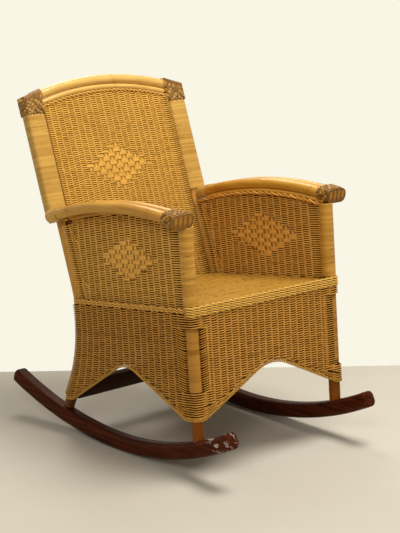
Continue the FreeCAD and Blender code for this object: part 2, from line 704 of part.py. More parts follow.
def make_seat():
    """Rails between legs and posts, two bearers, and the close mat that steps down under the arm panels."""
    front, rear = FRONT_RAIL_Y, REAR_RAIL_Y
    tilt_room = "seat_rail_diameter / 2 * tan(leg_lean)"
    pole_across("front_seat_rail", front, RAIL_Z, f"leg_x - {LEG_HUG}", "seat_rail_diameter")
    pole_across("rear_seat_rail", rear, RAIL_Z, f"post_x - {POST_HUG}", "seat_rail_diameter")
    for side, sign in SIDES:
        pole_along(f"{side}_seat_rail", f"{sign} * post_x", RAIL_Z, "seat_rail_diameter",
                   f"{front} + {LEG_HUG} / cos(leg_lean) + {tilt_room}",
                   f"{rear} - {POST_HUG} - 2 * seating_gap")
        pole_along(f"{side}_seat_bearer", f"{sign} * bearer_x", RAIL_Z, "bearer_diameter",
                   f"{front} + seat_rail_diameter / 2 + seating_gap",
                   f"{rear} - seat_rail_diameter / 2 - seating_gap")
        make_side_braid(side, sign)
    deck = new_body("seat_deck")
    sketch = new_sketch(deck, "XY_Plane", "seat_height - seat_thickness")
    wide = f"(leg_x + {LEG_RADIUS} - 2 * seating_gap)"
    slim = f"(post_x + {POST_RADIUS} - 2 * seating_gap)"
    front_edge = f"({front} - {LEG_RADIUS})"
    panel = "(panel_thickness / 2 + seating_gap) / cos(back_rake)"
    rear_edge = f"(bend_y + (seat_height - seat_thickness - bend_z) * tan(back_rake) - {panel})"
    leg_room, post_room = f"({LEG_HUG} + 2 * seating_gap)", f"({POST_HUG} + 2 * seating_gap)"
    leg_side, leg_back = f"(leg_x - {leg_room})", f"({front} + {leg_room})"
    post_side, post_front = f"(post_x - {post_room})", f"({rear} - {post_room})"
    half = [(leg_side, front_edge), (leg_side, leg_back), (wide, leg_back),
            (slim, post_front), (post_side, post_front), (post_side, rear_edge)]
    draw_outline(sketch, half + [(f"-{x}", y) for x, y in reversed(half)])
    pad(deck, sketch, "seat_thickness")

    def beside_panel(y):
        clear = f"(panel_thickness / 2 + seating_gap) / cos({POST_SPLAY})"
        return f"(leg_x - {y} * tan({POST_SPLAY}) - {clear})"

    for side, sign in SIDES:
        step = new_sketch(deck, "XY_Plane", "seat_height - seat_step")
        outer = "(leg_x + leg_diameter)"
        corners = [(beside_panel(front_edge), front_edge), (outer, front_edge),
                   (outer, rear_edge), (beside_panel(rear_edge), rear_edge)]
        draw_outline(step, [(f"{sign} * {x}", y) for x, y in corners])
        cut_through(deck, step, "PartDesign::Pocket", Type="ThroughAll", Reversed=True)


# Woven skirt, its hems and the braid over it

def draw_wrap(sketch, x, inner, outer, y, turn):
    """A sheet's section from post to post, bent round both; turn is -1 at the front and 1 at the rear."""
    corners = [(f"-{x} - {outer}", y), (f"-{x}", f"{y} + {turn} * {outer}"), (x, f"{y} + {turn} * {outer}"),
               (f"{x} + {outer}", y), (f"{x} + {inner}", y), (x, f"{y} + {turn} * {inner}"),
               (f"-{x}", f"{y} + {turn} * {inner}"), (f"-{x} - {inner}", y)]
    draw_outline(sketch, corners, {0: (outer, turn), 2: (outer, turn), 4: (inner, -turn), 6: (inner, -turn)})


def front_band(label, thickness, low, high):
    """A band across the front, bent round both legs."""
    body = new_body(label, FRONT)
    sketch = new_sketch(body, "XY_Plane", low)
    draw_wrap(sketch, "leg_x", LEG_HUG, f"({LEG_HUG} + {thickness})", "0", -1)
    pad(body, sketch, f"{high} - {low}")
    return body


def cut_front_view(body, corners, y="0"):
    """Cuts an outline of the front view right through."""
    sketch = new_sketch(body, "XZ_Plane", y)
    draw_outline(sketch, corners)
    cut_through(body, sketch, "PartDesign::Pocket", Type="ThroughAll", Midplane=True)


def round_arch(body, direction, peak, feet, peak_round):
    """Rounds an arch's peak and runs its feet out level."""
    round_edges(body, stands_at(direction, *peak), peak_round)
    round_edges(body, stands_at(direction, *feet), "arch_foot_round")


def arch_corners(span, foot, peak):
    """The outline that an arch of the front view takes out of a sheet."""
    below = f"{foot} - hem_height"
    return [(f"-{span}", foot), (f"-{span}", below), (span, below), (span, foot), ("0", peak)]


def make_front_skirt():
    """The front sheet, bent round the legs, with a peaked arch below and a window at each leg."""
    foot, peak = f"({SKIRT_FOOT} - {FOOT_Z})", f"(front_arch_peak + hem_height + seating_gap - {FOOT_Z})"
    top = f"({BRAID_TOP} - front_braid_height - seating_gap)"
    body = front_band("front_skirt", "panel_thickness", foot, top)
    cut_front_view(body, arch_corners(FRONT_SPAN, foot, peak))
    spots = [Vector(s * value(FRONT_SPAN), 0, value(foot)) for s in (-1, 1)]
    round_arch(body, ALONG, [Vector(0, 0, value(peak))], spots, "front_arch_round")
    low, high = f"({foot} + window_sill)", f"(seat_height - window_head - {FOOT_Z})"
    inner, outer = f"(leg_x - {LEG_RADIUS} - window_width)", "(leg_x + leg_diameter)"
    for side, sign in SIDES:
        near, far = (f"{sign} * {inner}", f"{sign} * {outer}")[::sign]
        cut_front_view(body, [(near, low), (far, low), (far, high), (near, high)])


def make_front_hem():
    """The rolled edge along the foot of the front sheet."""
    low, high = f"(skirt_foot_height - {FOOT_Z})", f"(skirt_foot_height + hem_height - {FOOT_Z})"
    peak, crest = f"(front_arch_peak - {FOOT_Z})", f"(front_arch_peak + hem_height - {FOOT_Z})"
    body = front_band("front_skirt_hem", "hem_thickness", low, f"({crest} + hem_height)")
    cut_front_view(body, arch_corners(FRONT_SPAN, low, peak))
    reach, above = "(leg_x + leg_diameter + hem_thickness)", f"{crest} + 2 * hem_height"
    cut_front_view(body, [(f"-{reach}", high), (f"-{FRONT_SPAN}", high), ("0", crest), (FRONT_SPAN, high),
                          (reach, high), (reach, above), (f"-{reach}", above)])
    spots = [Vector(s * value(FRONT_SPAN), 0, value(z)) for s in (-1, 1) for z in (low, high)]
    peaks = [Vector(0, 0, value(z)) for z in (peak, crest)]
    round_arch(body, ALONG, peaks, spots, "front_arch_round")


def make_front_braid():
    """Rows of rope-like braid along the front edge of the seat."""
    low = f"({BRAID_TOP} - front_braid_height)"
    body = front_band("front_seat_braid", "front_braid_thickness", low, BRAID_TOP)
    doc.recompute()
    outer = value(f"{LEG_HUG} + front_braid_thickness")

    def outside(edge):
        level = abs(edge.BoundBox.ZLength) < 0.01
        bent = isinstance(edge.Curve, Part.Circle) and abs(edge.Curve.Radius - outer) < 0.1
        return level and (bent or runs_along(ACROSS)(edge) and edge.CenterOfMass.y < 0.1 - outer)

    round_edges(body, outside, "front_braid_round")


def leg_line(z):
    """The rear half of the front leg's middle line, in the side view."""
    return f"(seating_gap - ({z} - {FOOT_Z}) * tan(leg_lean))"


def post_line(z):
    """The rear leg's middle line below its bend, in the side view."""
    return f"(bend_y + (bend_z - {z}) * tan(leg_sweep) - seating_gap)"


def make_side_skirt(side, sign):
    """A side sheet from leg to leg; its rear edge follows the sweep of the rear leg."""
    body = new_body(f"{side}_skirt", FLANK[sign])
    sketch = new_sketch(body, "YZ_Plane")
    edge = "(bend_radius + seating_gap)"
    turn = f"({BEND_Y} - {edge} * cos(leg_sweep))", f"({BEND_Z} - {edge} * sin(leg_sweep))"
    top_y = f"({BEND_Y} - sqrt({edge} ^ 2 - ({SKIRT_TOP} - {BEND_Z}) ^ 2))"
    foot_y = f"({turn[0]} + ({turn[1]} - {SKIRT_FOOT}) * tan(leg_sweep))"
    peak = "(side_arch_peak + hem_height + seating_gap)"
    corners = [(leg_line(SKIRT_FOOT), SKIRT_FOOT), ("side_arch_front", SKIRT_FOOT),
               ("side_arch_peak_y", peak), ("side_arch_rear", SKIRT_FOOT), (foot_y, SKIRT_FOOT),
               turn, (top_y, SKIRT_TOP), (leg_line(SKIRT_TOP), SKIRT_TOP)]
    draw_outline(sketch, corners, {5: (edge, 1)})
    pad(body, sketch, "panel_thickness", reverse=sign < 0)
    feet = [Vector(0, value(y), value(SKIRT_FOOT)) for y in ("side_arch_front", "side_arch_rear")]
    round_arch(body, ACROSS, [Vector(0, value("side_arch_peak_y"), value(peak))], feet, "side_arch_round")
    window = new_sketch(body, "YZ_Plane")
    low = f"({SKIRT_FOOT} + window_sill)"
    draw_box(window, "-2 * leg_diameter", low, f"{leg_line(low)} + {LEG_RADIUS} + window_width",
             "(seat_height - window_head)")
    cut_through(body, window, "PartDesign::Pocket", Type="ThroughAll", Midplane=True)


def make_side_hem(side, sign):
    """The rolled edge along the foot of a side sheet."""
    body = new_body(f"{side}_skirt_hem", FLANK[sign])
    sketch = new_sketch(body, "YZ_Plane")
    low, high = "skirt_foot_height", "(skirt_foot_height + hem_height)"
    peak, crest = "side_arch_peak", "(side_arch_peak + hem_height)"
    corners = [(leg_line(low), low), ("side_arch_front", low), ("side_arch_peak_y", peak),
               ("side_arch_rear", low), (post_line(low), low), (post_line(high), high),
               ("side_arch_rear", high), ("side_arch_peak_y", crest), ("side_arch_front", high),
               (leg_line(high), high)]
    draw_outline(sketch, corners)
    pad(body, sketch, "hem_thickness", reverse=sign < 0)
    peaks = [Vector(0, value("side_arch_peak_y"), value(z)) for z in (peak, crest)]
    feet = [Vector(0, value(y), value(z)) for y in ("side_arch_front", "side_arch_rear")
            for z in (low, high)]
    round_arch(body, ACROSS, peaks, feet, "side_arch_round")


def make_rear_skirt():
    """The rear sheet, bent round both posts and swept back with their feet, with the front sheet's arch."""
    body = new_body("rear_skirt")
    sketch = new_sketch(body, "XY_Plane", BEND_Z)
    draw_wrap(sketch, "post_x", POST_HUG, f"({POST_HUG} + panel_thickness)", f"({BEND_Y} - bend_radius)", 1)
    draw_axis(sketch, "-post_x", BEND_Y, "2 * post_x")
    sweep = revolve(body, sketch, "leg_sweep", f"asin(({SKIRT_TOP} - {BEND_Z}) / bend_radius)")
    doc.recompute()
    foot = body.newObject("PartDesign::Pad", "Foot")
    foot.Profile = (sweep, [flat_face(sweep.Shape, Vector(0, 1, -1))])
    bind(foot, "Length", f"({BEND_Z} - bend_radius * sin(leg_sweep)) / cos(leg_sweep)")
    level = new_sketch(body, "YZ_Plane")
    draw_box(level, "0", "-skirt_foot_height", "3 * bend_y", SKIRT_FOOT)
    cut_through(body, level, "PartDesign::Pocket", Type="ThroughAll", Midplane=True)
    peak = "(front_arch_peak + hem_height)"
    cut_front_view(body, arch_corners(REAR_SPAN, SKIRT_FOOT, peak), "bend_y")
    feet = [Vector(s * value(REAR_SPAN), 0, value(SKIRT_FOOT)) for s in (-1, 1)]
    round_arch(body, ALONG, [Vector(0, 0, value(peak))], feet, "front_arch_round")


for side, sign in SIDES:
    make_rocker(side, sign)
    make_front_leg(side, sign)
    make_leg_wrap(side, sign)
    make_rear_post(side, sign)
    make_stile_pole(side, sign)
    make_stile_wrap(side, sign)
    make_corner_binding(side, sign)
    make_arm(side, sign)
    make_arm_binding(side, sign)
    make_arm_lashing(side, sign)
    make_arm_panel(side, sign)
    make_side_skirt(side, sign)
    make_side_hem(side, sign)
pole_across("rear_stretcher", "bend_y + (bend_z - stretcher_height) * tan(leg_sweep)", "stretcher_height",
            f"post_x - {POST_RADIUS} - seating_gap", "stretcher_diameter")
bow("upper_top_bow", "bow_radius", "upper_bow_diameter", f"({STILE_OUTER} - seating_gap)")
bow("lower_top_bow", LOWER_BOW, "lower_bow_diameter", f"({STILE_INNER} - lower_bow_diameter / 4)")
make_back_panel()
make_seat()
make_front_skirt()
make_front_hem()
make_front_braid()
make_rear_skirt()
doc.recompute()

# The chair leans back about the centre of its rockers, and stands on the middle of its own footprint
lean = Placement(Vector(), Rotation(ACROSS, -value("rest_tilt")),
                 Vector(0, value("rocker_bottom_y"), value("rocker_radius")))
for body, frame in parts.values():
    body.Placement = lean * frame
doc.recompute()
reach = FreeCAD.BoundBox()
for body, frame in parts.values():
    reach.add(body.Shape.optimalBoundingBox(False, False))
shift = Placement(Vector(0, -reach.Center.y, 0), Rotation())
for body, frame in parts.values():
    body.Placement = shift * lean * frame
doc.recompute()

faults = [item.Label for item in doc.Objects if "Invalid" in item.State or "Error" in item.State]
faults += [label for label, (body, frame) in parts.items()
           if body.Shape.isNull() or not body.Shape.isValid()]
if faults:
    raise RuntimeError("not built: " + ", ".join(faults))
os.makedirs("parts", exist_ok=True)
for label, (body, frame) in parts.items():
    body.Shape.exportStep(f"parts/{label}.step")
print(len(parts), "parts", reach.XLength, reach.YLength, reach.ZLength)
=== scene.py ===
import math
import bpy
import numpy as np
from mathutils import Matrix, Vector


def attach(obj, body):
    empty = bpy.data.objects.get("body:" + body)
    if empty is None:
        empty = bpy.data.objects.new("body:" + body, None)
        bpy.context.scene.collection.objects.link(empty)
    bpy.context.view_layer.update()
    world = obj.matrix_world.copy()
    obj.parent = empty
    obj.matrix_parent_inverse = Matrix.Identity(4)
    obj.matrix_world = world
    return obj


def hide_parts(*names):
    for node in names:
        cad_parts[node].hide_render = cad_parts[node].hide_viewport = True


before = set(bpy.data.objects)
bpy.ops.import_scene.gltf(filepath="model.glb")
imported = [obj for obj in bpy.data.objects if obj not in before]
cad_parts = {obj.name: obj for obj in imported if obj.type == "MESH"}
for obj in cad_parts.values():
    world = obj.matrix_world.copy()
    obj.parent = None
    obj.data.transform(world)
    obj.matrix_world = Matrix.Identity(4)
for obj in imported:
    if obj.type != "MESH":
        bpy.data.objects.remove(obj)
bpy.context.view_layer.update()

# Looks of the rattan rocking chair: reed weave, braids, hems, wound peel, plaited bindings and finishes.
# Places are worked out in millimetres with the seat level, as the chair is built: X across, Y to the rear
# from the front feet, Z up from the lowest point of the rockers. The rest frame then leans it back.

rng = np.random.default_rng(11)
SIDES = (("left", -1), ("right", 1))

# Frames of the chair, as in its solids

def tilted(place, angle):
    return Matrix.Translation(place) @ Matrix.Rotation(angle, 4, "X")


def splayed(x, degrees):
    """A frame for each side, turned about the vertical."""
    return {sign: Matrix.Translation((sign * x, 0, 0)) @ Matrix.Rotation(sign * math.radians(degrees), 4, "Z")
            for side, sign in SIDES}


ROCKER_R, ROCKER_Y, REST_Y, REST_ANGLE = 1023, 223, 5.4601, math.radians(6.7002)
REST = tilted((0, REST_Y, ROCKER_R), -REST_ANGLE) @ Matrix.Translation((0, -ROCKER_Y, -ROCKER_R))
WORLD = Matrix.Scale(0.001, 4) @ REST  # from millimetres to metres
FOOT_Z = 67.68
KNEE_Y, KNEE_Z = 424, 291
LEG_X, POST_X = 241.0, 234.5
LEG_ANGLE, POST_ANGLE = math.radians(2.7), math.radians(12.5)
FRONT, BACK = tilted((0, 0, FOOT_Z), LEG_ANGLE), tilted((0, KNEE_Y, KNEE_Z), -POST_ANGLE)
FLANK, IN_LINE = splayed(256.3, 0.704), splayed(LEG_X, 0.8318)
LEAN, RAKE = math.tan(LEG_ANGLE), math.tan(POST_ANGLE)
SWEEP = math.radians(32.7)
BEND_Y, BEND_Z, BEND_R = 797.24, 357.48, 350.0
ARM_Y, ARM_Z, ARM_R = 240.95, -464.0, 1113.0
BOW_R, BOW_DROP = 820, 123
SHEET_OUT = 18.3  # from the axis of a leg or post to the middle of the skirt round it
SHEET_GAP = 0.3  # from the end of a side sheet to the axis of its leg or post
SEAT_Z = 398.0
HEM_Z = 127


def carried(matrix, points):
    """Points of a local frame, in millimetres, in the rest frame in metres."""
    m = np.array(WORLD @ matrix)
    points = np.asarray(points, float)
    return points @ m[:3, :3].T + m[:3, 3]


def held(matrix):
    """Says how places of a local frame are carried to the rest frame."""
    return lambda p: carried(matrix, p)


def leg_line(z):
    """Y of a front leg's axis at height z."""
    return -(z - FOOT_Z) * LEAN


def post_line(z):
    """Y of a rear post's axis at height z, above its bend."""
    return KNEE_Y + (z - KNEE_Z) * RAKE


def swept(z, radius):
    """Y and slope, at height z, of a rear post's bent foot or of a line beside it."""
    turn = BEND_Z - radius * math.sin(SWEEP)
    angle = np.where(z > turn, np.arcsin(np.clip((z - BEND_Z) / radius, -1, 1)), -SWEEP)
    return BEND_Y - radius * np.cos(angle) + np.where(z > turn, 0, (turn - z) * math.tan(SWEEP)), angle


def on_arm(sign, degrees, along=0):
    """The frame on the two poles of an arm, at an angle of their bow."""
    return tilted((0, ARM_Y, ARM_Z), math.radians(degrees)) @ Matrix.Translation((sign * 264, along, ARM_R))


def columns(*parts):
    """Places from their coordinates, each of them a run of numbers or one number for all."""
    return np.stack(np.broadcast_arrays(*parts), axis=1).astype(float)


def unit(ways):
    return ways / np.linalg.norm(ways, axis=1)[:, None]


def lengths(line):
    """How far along a line each of its points lies."""
    return np.concatenate([[0], np.cumsum(np.linalg.norm(np.diff(line, axis=0), axis=1))])


def along_line(spots, steps, line):
    """Places at some distances along a line, whose own points lie at steps."""
    return columns(*(np.interp(spots, steps, part) for part in line.T))


# Finishes

def new_finish(name):
    finish = bpy.data.materials.new(name)
    finish.use_nodes = True
    return finish, finish.node_tree, finish.node_tree.nodes["Principled BSDF"]


def give(tree, item, **sockets):
    """Sets a node's inputs to numbers, colours or other nodes' outputs. An input is called as on the node,
    or n and its number."""
    for key, value in sockets.items():
        numbered = key[0] == "n" and key[1:].isdigit()
        spot = item.inputs[int(key[1:]) if numbered else key.replace("_", " ")]
        if isinstance(value, bpy.types.NodeSocket):
            tree.links.new(value, spot)
        else:
            spot.default_value = value


def put(tree, kind, settings=(), **sockets):
    """Adds a node with its settings and inputs."""
    item = tree.nodes.new(kind)
    for key, setting in dict(settings).items():
        setattr(item, key, setting)
    give(tree, item, **sockets)
    return item


def attribute(tree, name):
    return put(tree, "ShaderNodeAttribute", {"attribute_name": name}).outputs["Fac"]


def scaled(tree, place, scale, turn=(0, 0, 0)):
    return put(tree, "ShaderNodeMapping", Vector=place, Scale=scale, Rotation=turn).outputs["Vector"]


def object_place(tree, scale=(1, 1, 1), turn=(0, 0, 0)):
    return scaled(tree, put(tree, "ShaderNodeTexCoord").outputs["Object"], scale, turn)


def ramp(tree, source, *stops):
    item = put(tree, "ShaderNodeValToRGB", Fac=source)
    elements = item.color_ramp.elements
    while len(elements) < len(stops):
        elements.new(0.5)
    for element, (where, colour) in zip(elements, stops):
        element.position = where
        element.color = (*colour, 1)
    return item.outputs["Color"]


def fade(tree, source, *stops):
    return ramp(tree, source, *((where, (level, level, level)) for where, level in stops))


def mix(tree, share, first, second):
    """Goes from an output to a colour by a share."""
    return put(tree, "ShaderNodeMix", {"data_type": "RGBA"}, n0=share, n6=first, n7=(*second, 1)).outputs[2]


def noise(tree, place, scale, detail=3.0, rough=0.55):
    return put(tree, "ShaderNodeTexNoise", Vector=place, Scale=scale, Detail=detail, Roughness=rough).outputs["Fac"]


def maths(tree, operation, first, second=0.0):
    return put(tree, "ShaderNodeMath", {"operation": operation}, n0=first, n1=second).outputs[0]


def times(tree, first, second):
    return maths(tree, "MULTIPLY", first, second)


def weighted(tree, *shares):
    """The sum of outputs, each times its share."""
    total = None
    for source, share in shares:
        part = times(tree, source, share)
        total = part if total is None else maths(tree, "ADD", total, part)
    return total


def bump(tree, shader, height, strength, distance):
    item = put(tree, "ShaderNodeBump", Height=height, Strength=strength, Distance=distance)
    give(tree, shader, Normal=item.outputs["Normal"])


VARNISH_TINT = (1, 0.82, 0.5, 1)


def reed_finish(name, pale, deep, crevice, shade_and_dirt=0.8, rough=0.42):
    """Varnished round reed: every strand has its own tone, and the weave's hollows darken towards the crevice colour,
    partly as old dark varnish and partly as painted shade.
    """
    finish, tree, shader = new_finish(name)
    tone, hollow = attribute(tree, "tone"), attribute(tree, "hollow")
    clouds = noise(tree, object_place(tree), 9.0, 4.0)
    flecks = noise(tree, object_place(tree), 260.0, 2.0)
    blend = weighted(tree, (tone, 0.5), (clouds, 0.32), (flecks, 0.28))
    colour = ramp(tree, blend, (0.22, deep), (0.52, pale), (0.86, tuple(min(1.0, c * 1.22) for c in pale)))
    # Painted shade: the hollow share darkens recesses, and strands where stakes hide them, together with old dark
    # varnish there.
    colour = mix(tree, times(tree, hollow, shade_and_dirt), colour, crevice)
    worn = fade(tree, flecks, (0.3, rough - 0.08), (0.7, rough + 0.12))
    # Hollows also lose their sheen, as painted shade.
    sheen = times(tree, maths(tree, "SUBTRACT", 1.0, hollow), 0.25)
    give(tree, shader, Base_Color=colour, Roughness=worn, Specular_IOR_Level=sheen, Specular_Tint=VARNISH_TINT)
    bump(tree, shader, flecks, 0.25, 0.0004)
    return finish


def pole_finish(name, pale, deep, along, gloss=0.55, knots=2.9, shift=0.0, shine=0.3, foot=None):
    """Glossy rattan pole: long streaks, a dark ring at each joint of the cane, and clear varnish.
    along is the axis that it follows, and foot the darker colour of its lowest stretch."""
    finish, tree, shader = new_finish(name)
    stretch = [34.0, 34.0, 34.0]
    stretch[along] = 1.6
    streaks = noise(tree, object_place(tree, stretch), 3.2, 5.0, 0.6)
    hairs = noise(tree, object_place(tree, [8 * s for s in stretch]), 2.0, 3.0)
    clouds = noise(tree, object_place(tree), 7.0, 2.0)
    blend = weighted(tree, (streaks, 0.6), (clouds, 0.4))
    colour = ramp(tree, blend, (0.34, deep), (0.62, pale))
    axis = put(tree, "ShaderNodeSeparateXYZ", Vector=object_place(tree)).outputs[along]
    run = weighted(tree, (axis, knots), (clouds, 0.35))
    step = maths(tree, "FRACT", maths(tree, "ADD", run, shift))
    ring = maths(tree, "ABSOLUTE", maths(tree, "SUBTRACT", step, 0.5))
    joint = fade(tree, ring, (0.0, 1.0), (0.012, 0.75), (0.03, 0.0))
    colour = mix(tree, times(tree, joint, 0.22), colour, tuple(c * 0.4 for c in deep))
    colour = mix(tree, times(tree, hairs, 0.25), colour, tuple(c * 0.7 for c in deep))
    if foot:
        height = put(tree, "ShaderNodeSeparateXYZ", Vector=object_place(tree)).outputs[2]
        colour = mix(tree, fade(tree, height, (0.094, 1), (0.102, 0)), colour, foot)
    give(tree, shader, Base_Color=colour, Roughness=0.38, Specular_IOR_Level=shine, Specular_Tint=VARNISH_TINT,
         Coat_Weight=gloss, Coat_Roughness=0.12)
    bump(tree, shader, maths(tree, "ADD", hairs, times(tree, joint, 0.8)), 0.12, 0.0006)
    return finish


def peel_finish(name, pale, deep, crack, spread=0.42, lines=0.6):
    """Flat peel wound edge to edge: a tone for each turn, dark lines between turns, fibres and a few cracks."""
    finish, tree, shader = new_finish(name)
    tone, hollow = attribute(tree, "tone"), attribute(tree, "hollow")
    clouds = noise(tree, object_place(tree), 11.0, 4.0)
    leaned = object_place(tree, turn=(math.radians(19.2), 0, 0))
    fibre = noise(tree, scaled(tree, leaned, (30, 30, 900)), 1.0, 3.0)
    split = noise(tree, scaled(tree, leaned, (16, 16, 240)), 1.0, 4.0)
    blend = weighted(tree, (tone, spread), (clouds, 0.5))
    colour = ramp(tree, blend, (0.2, deep), (0.6, pale))
    colour = mix(tree, times(tree, fibre, 0.3), colour, deep)
    colour = mix(tree, times(tree, hollow, lines), colour, crack)
    colour = mix(tree, fade(tree, split, (0.61, 0), (0.67, 0.6)), colour, crack)
    give(tree, shader, Base_Color=colour, Roughness=0.4, Specular_IOR_Level=0.3, Specular_Tint=VARNISH_TINT,
         Coat_Weight=0.12, Coat_Roughness=0.25)
    bump(tree, shader, fibre, 0.1, 0.0004)
    return finish


def rocker_finish():
    """Dark mahogany stain under worn satin varnish, with pale paint flecks near one front tip."""
    finish, tree, shader = new_finish("rocker_mahogany")
    grain = noise(tree, object_place(tree, (60, 2.2, 60)), 2.6, 6.0, 0.62)
    clouds = noise(tree, object_place(tree), 6.5, 3.0)
    colour = ramp(tree, grain, (0.3, (0.013, 0.0026, 0.001)), (0.56, (0.066, 0.0132, 0.0038)),
                  (0.8, (0.125, 0.03, 0.01)))
    scuffs = noise(tree, object_place(tree, (1, 0.35, 1)), 95.0, 5.0, 0.7)
    scuffs = fade(tree, scuffs, (0.62, 0), (0.69, 1))
    worn = times(tree, scuffs, fade(tree, clouds, (0.5, 0), (0.62, 0.8)))
    colour = mix(tree, worn, colour, (0.12, 0.055, 0.03))
    place = object_place(tree)
    spot = carried(Matrix(), [(-LEG_X - 8, -88, 104)])[0]
    reach = put(tree, "ShaderNodeVectorMath", {"operation": "DISTANCE"}, n0=place, n1=tuple(spot)).outputs["Value"]
    near = fade(tree, reach, (0.035, 1), (0.07, 0))
    chips = noise(tree, object_place(tree, (1, 0.6, 1)), 62.0, 4.0, 0.62)
    chips = fade(tree, chips, (0.56, 0), (0.62, 1))
    colour = mix(tree, times(tree, chips, near), colour, (0.5, 0.41, 0.36))
    rough = fade(tree, clouds, (0.3, 0.3), (0.7, 0.52))
    give(tree, shader, Base_Color=colour, Roughness=rough, Specular_IOR_Level=0.06,
         Specular_Tint=(1, 0.34, 0.14, 1))
    bump(tree, shader, grain, 0.15, 0.0008)
    return finish


# Crevice colours of the hollows: old dark varnish and painted shade.
UMBER, SOOT = (0.06, 0.02, 0.003), (0.02, 0.008, 0.002)
back_reed = reed_finish("back_reed", (0.76, 0.42, 0.075), (0.54, 0.255, 0.033), UMBER, 0.7)
woven_reed = reed_finish("woven_reed", (0.9, 0.48, 0.094), (0.62, 0.28, 0.038), UMBER, 0.96)
skirt_reed = reed_finish("skirt_reed", (0.62, 0.293, 0.047), (0.375, 0.149, 0.016), (0.028, 0.008, 0.0015), 1.0)
seat_reed = reed_finish("seat_reed", (0.53, 0.28, 0.038), (0.17, 0.07, 0.007), (0.08, 0.028, 0.003), 0.9)
braid_reed = reed_finish("braid_reed", (0.76, 0.44, 0.09), (0.5, 0.24, 0.034), UMBER, 0.85)
hem_reed = reed_finish("hem_reed", (0.58, 0.31, 0.055), (0.36, 0.16, 0.02), UMBER, 0.95)
wound_peel = peel_finish("wound_peel", (0.66, 0.405, 0.094), (0.44, 0.225, 0.038), (0.2, 0.08, 0.012), 0.34, 0.45)
post_peel = peel_finish("post_peel", (0.66, 0.355, 0.062), (0.44, 0.205, 0.025), (0.13, 0.045, 0.006), 0.45, 1.0)
leg_peel = peel_finish("leg_peel", (0.49, 0.225, 0.032), (0.28, 0.105, 0.011), (0.08, 0.026, 0.003), 0.6, 1.0)
brown_plait = reed_finish("brown_plait", (0.5, 0.272, 0.075), (0.125, 0.048, 0.009), SOOT, 0.95, 0.4)
arm_plait = reed_finish("arm_plait", (0.42, 0.215, 0.042), (0.11, 0.042, 0.007), SOOT, 0.95, 0.4)
pale_band = reed_finish("pale_band", (0.38, 0.178, 0.025), (0.2, 0.085, 0.011), (0.04, 0.014, 0.003), 0.95, 0.4)
pole_along = pole_finish("pole_front_to_rear", (0.67, 0.37, 0.05), (0.48, 0.21, 0.018), 1, 0.28, shine=0.18)
pole_across = pole_finish("pole_side_to_side", (0.79, 0.5, 0.128), (0.58, 0.3, 0.05), 0, shift=0.2)
pole_post = pole_finish("pole_post", (0.6, 0.31, 0.048), (0.42, 0.17, 0.019), 2, 0.2, 4.1, shine=0.2,
                        foot=(0.11, 0.036, 0.008))
pole_upright = pole_finish("pole_upright", (0.27, 0.082, 0.007), (0.15, 0.042, 0.004), 2, 0.04, 4.1, shine=0.1)
dark_pole = pole_finish("dark_pole", (0.045, 0.014, 0.006), (0.018, 0.006, 0.003), 0, 0.03, shine=0.08)
mahogany = rocker_finish()


# Strands

def finished(piece, finish, nodes=()):
    """Gives a piece its finish, sets it to ride with the chair, and hides the solids it stands for."""
    piece.data.materials.clear()
    piece.data.materials.append(finish)
    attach(piece, "root")
    if nodes:
        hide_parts(*nodes)


def deselect():
    bpy.ops.object.select_all(action="DESELECT")


def mode(name):
    bpy.ops.object.mode_set(mode=name)


def shade(mesh, tones, hollows):
    """Stores the tone and hollow of each vertex for the finishes."""
    for key, values in (("tone", tones), ("hollow", hollows)):
        mesh.attributes.new(key, "FLOAT", "POINT").data.foreach_set("value", values.astype(np.float32))


def strands(name, runs, sides, bend):
    """One mesh of many strands. A run is: middles, half widths along two directions, and its tone and hollow,
    all but the first given once or for each middle; a hollow of two columns is for the front and rear of the
    strand. bend carries the flat places of the vertices, in millimetres, to the rest frame."""
    turn = np.linspace(0, 2 * math.pi, sides, endpoint=False) + math.pi / sides
    places, faces, tones, hollows, count = [], [], [], [], 0
    for middles, across, up, tone, hollow in runs:
        rings = len(middles)
        across, up = (np.broadcast_to(np.array(way, float), middles.shape) for way in (across, up))
        ring = (middles[:, None, :] + np.cos(turn)[None, :, None] * across[:, None, :]
                + np.sin(turn)[None, :, None] * up[:, None, :])
        places.append(ring.reshape(-1, 3))
        index = count + np.arange(rings * sides).reshape(rings, sides)
        after = np.roll(index, -1, axis=1)
        quads = np.stack([index[:-1], after[:-1], after[1:], index[1:]], axis=-1).reshape(-1, 4)
        faces += quads.tolist()
        faces += [index[0][::-1].tolist(), index[-1].tolist()]
        tones.append(np.repeat(np.broadcast_to(tone, rings), sides))
        # A strand's painted shade can differ on its front and rear; the two blend round it.
        if np.ndim(hollow) == 2:
            facing = (1 + np.sin(turn)) / 2
            hollows.append((hollow[:, :1] * facing + hollow[:, 1:] * (1 - facing)).ravel())
        else:
            hollows.append(np.repeat(np.broadcast_to(hollow, rings), sides))
        count += rings * sides
    mesh = bpy.data.meshes.new(name)
    mesh.from_pydata(bend(np.concatenate(places)).tolist(), [], faces)
    shade(mesh, np.concatenate(tones), np.concatenate(hollows))
    mesh.shade_smooth()
    piece = bpy.data.objects.new(name, mesh)
    bpy.context.scene.collection.objects.link(piece)
    deselect()
    piece.select_set(True)
    bpy.context.view_layer.objects.active = piece
    mode("EDIT")
    bpy.ops.mesh.select_all(action="SELECT")
    bpy.ops.mesh.normals_make_consistent(inside=False)
    mode("OBJECT")
    return piece


ROW = 2.95
REED_TALL, REED_DEEP, LIFT = 1.7, 1.35, 1.75
SHADE_STRIP_DEPTH = -1.6


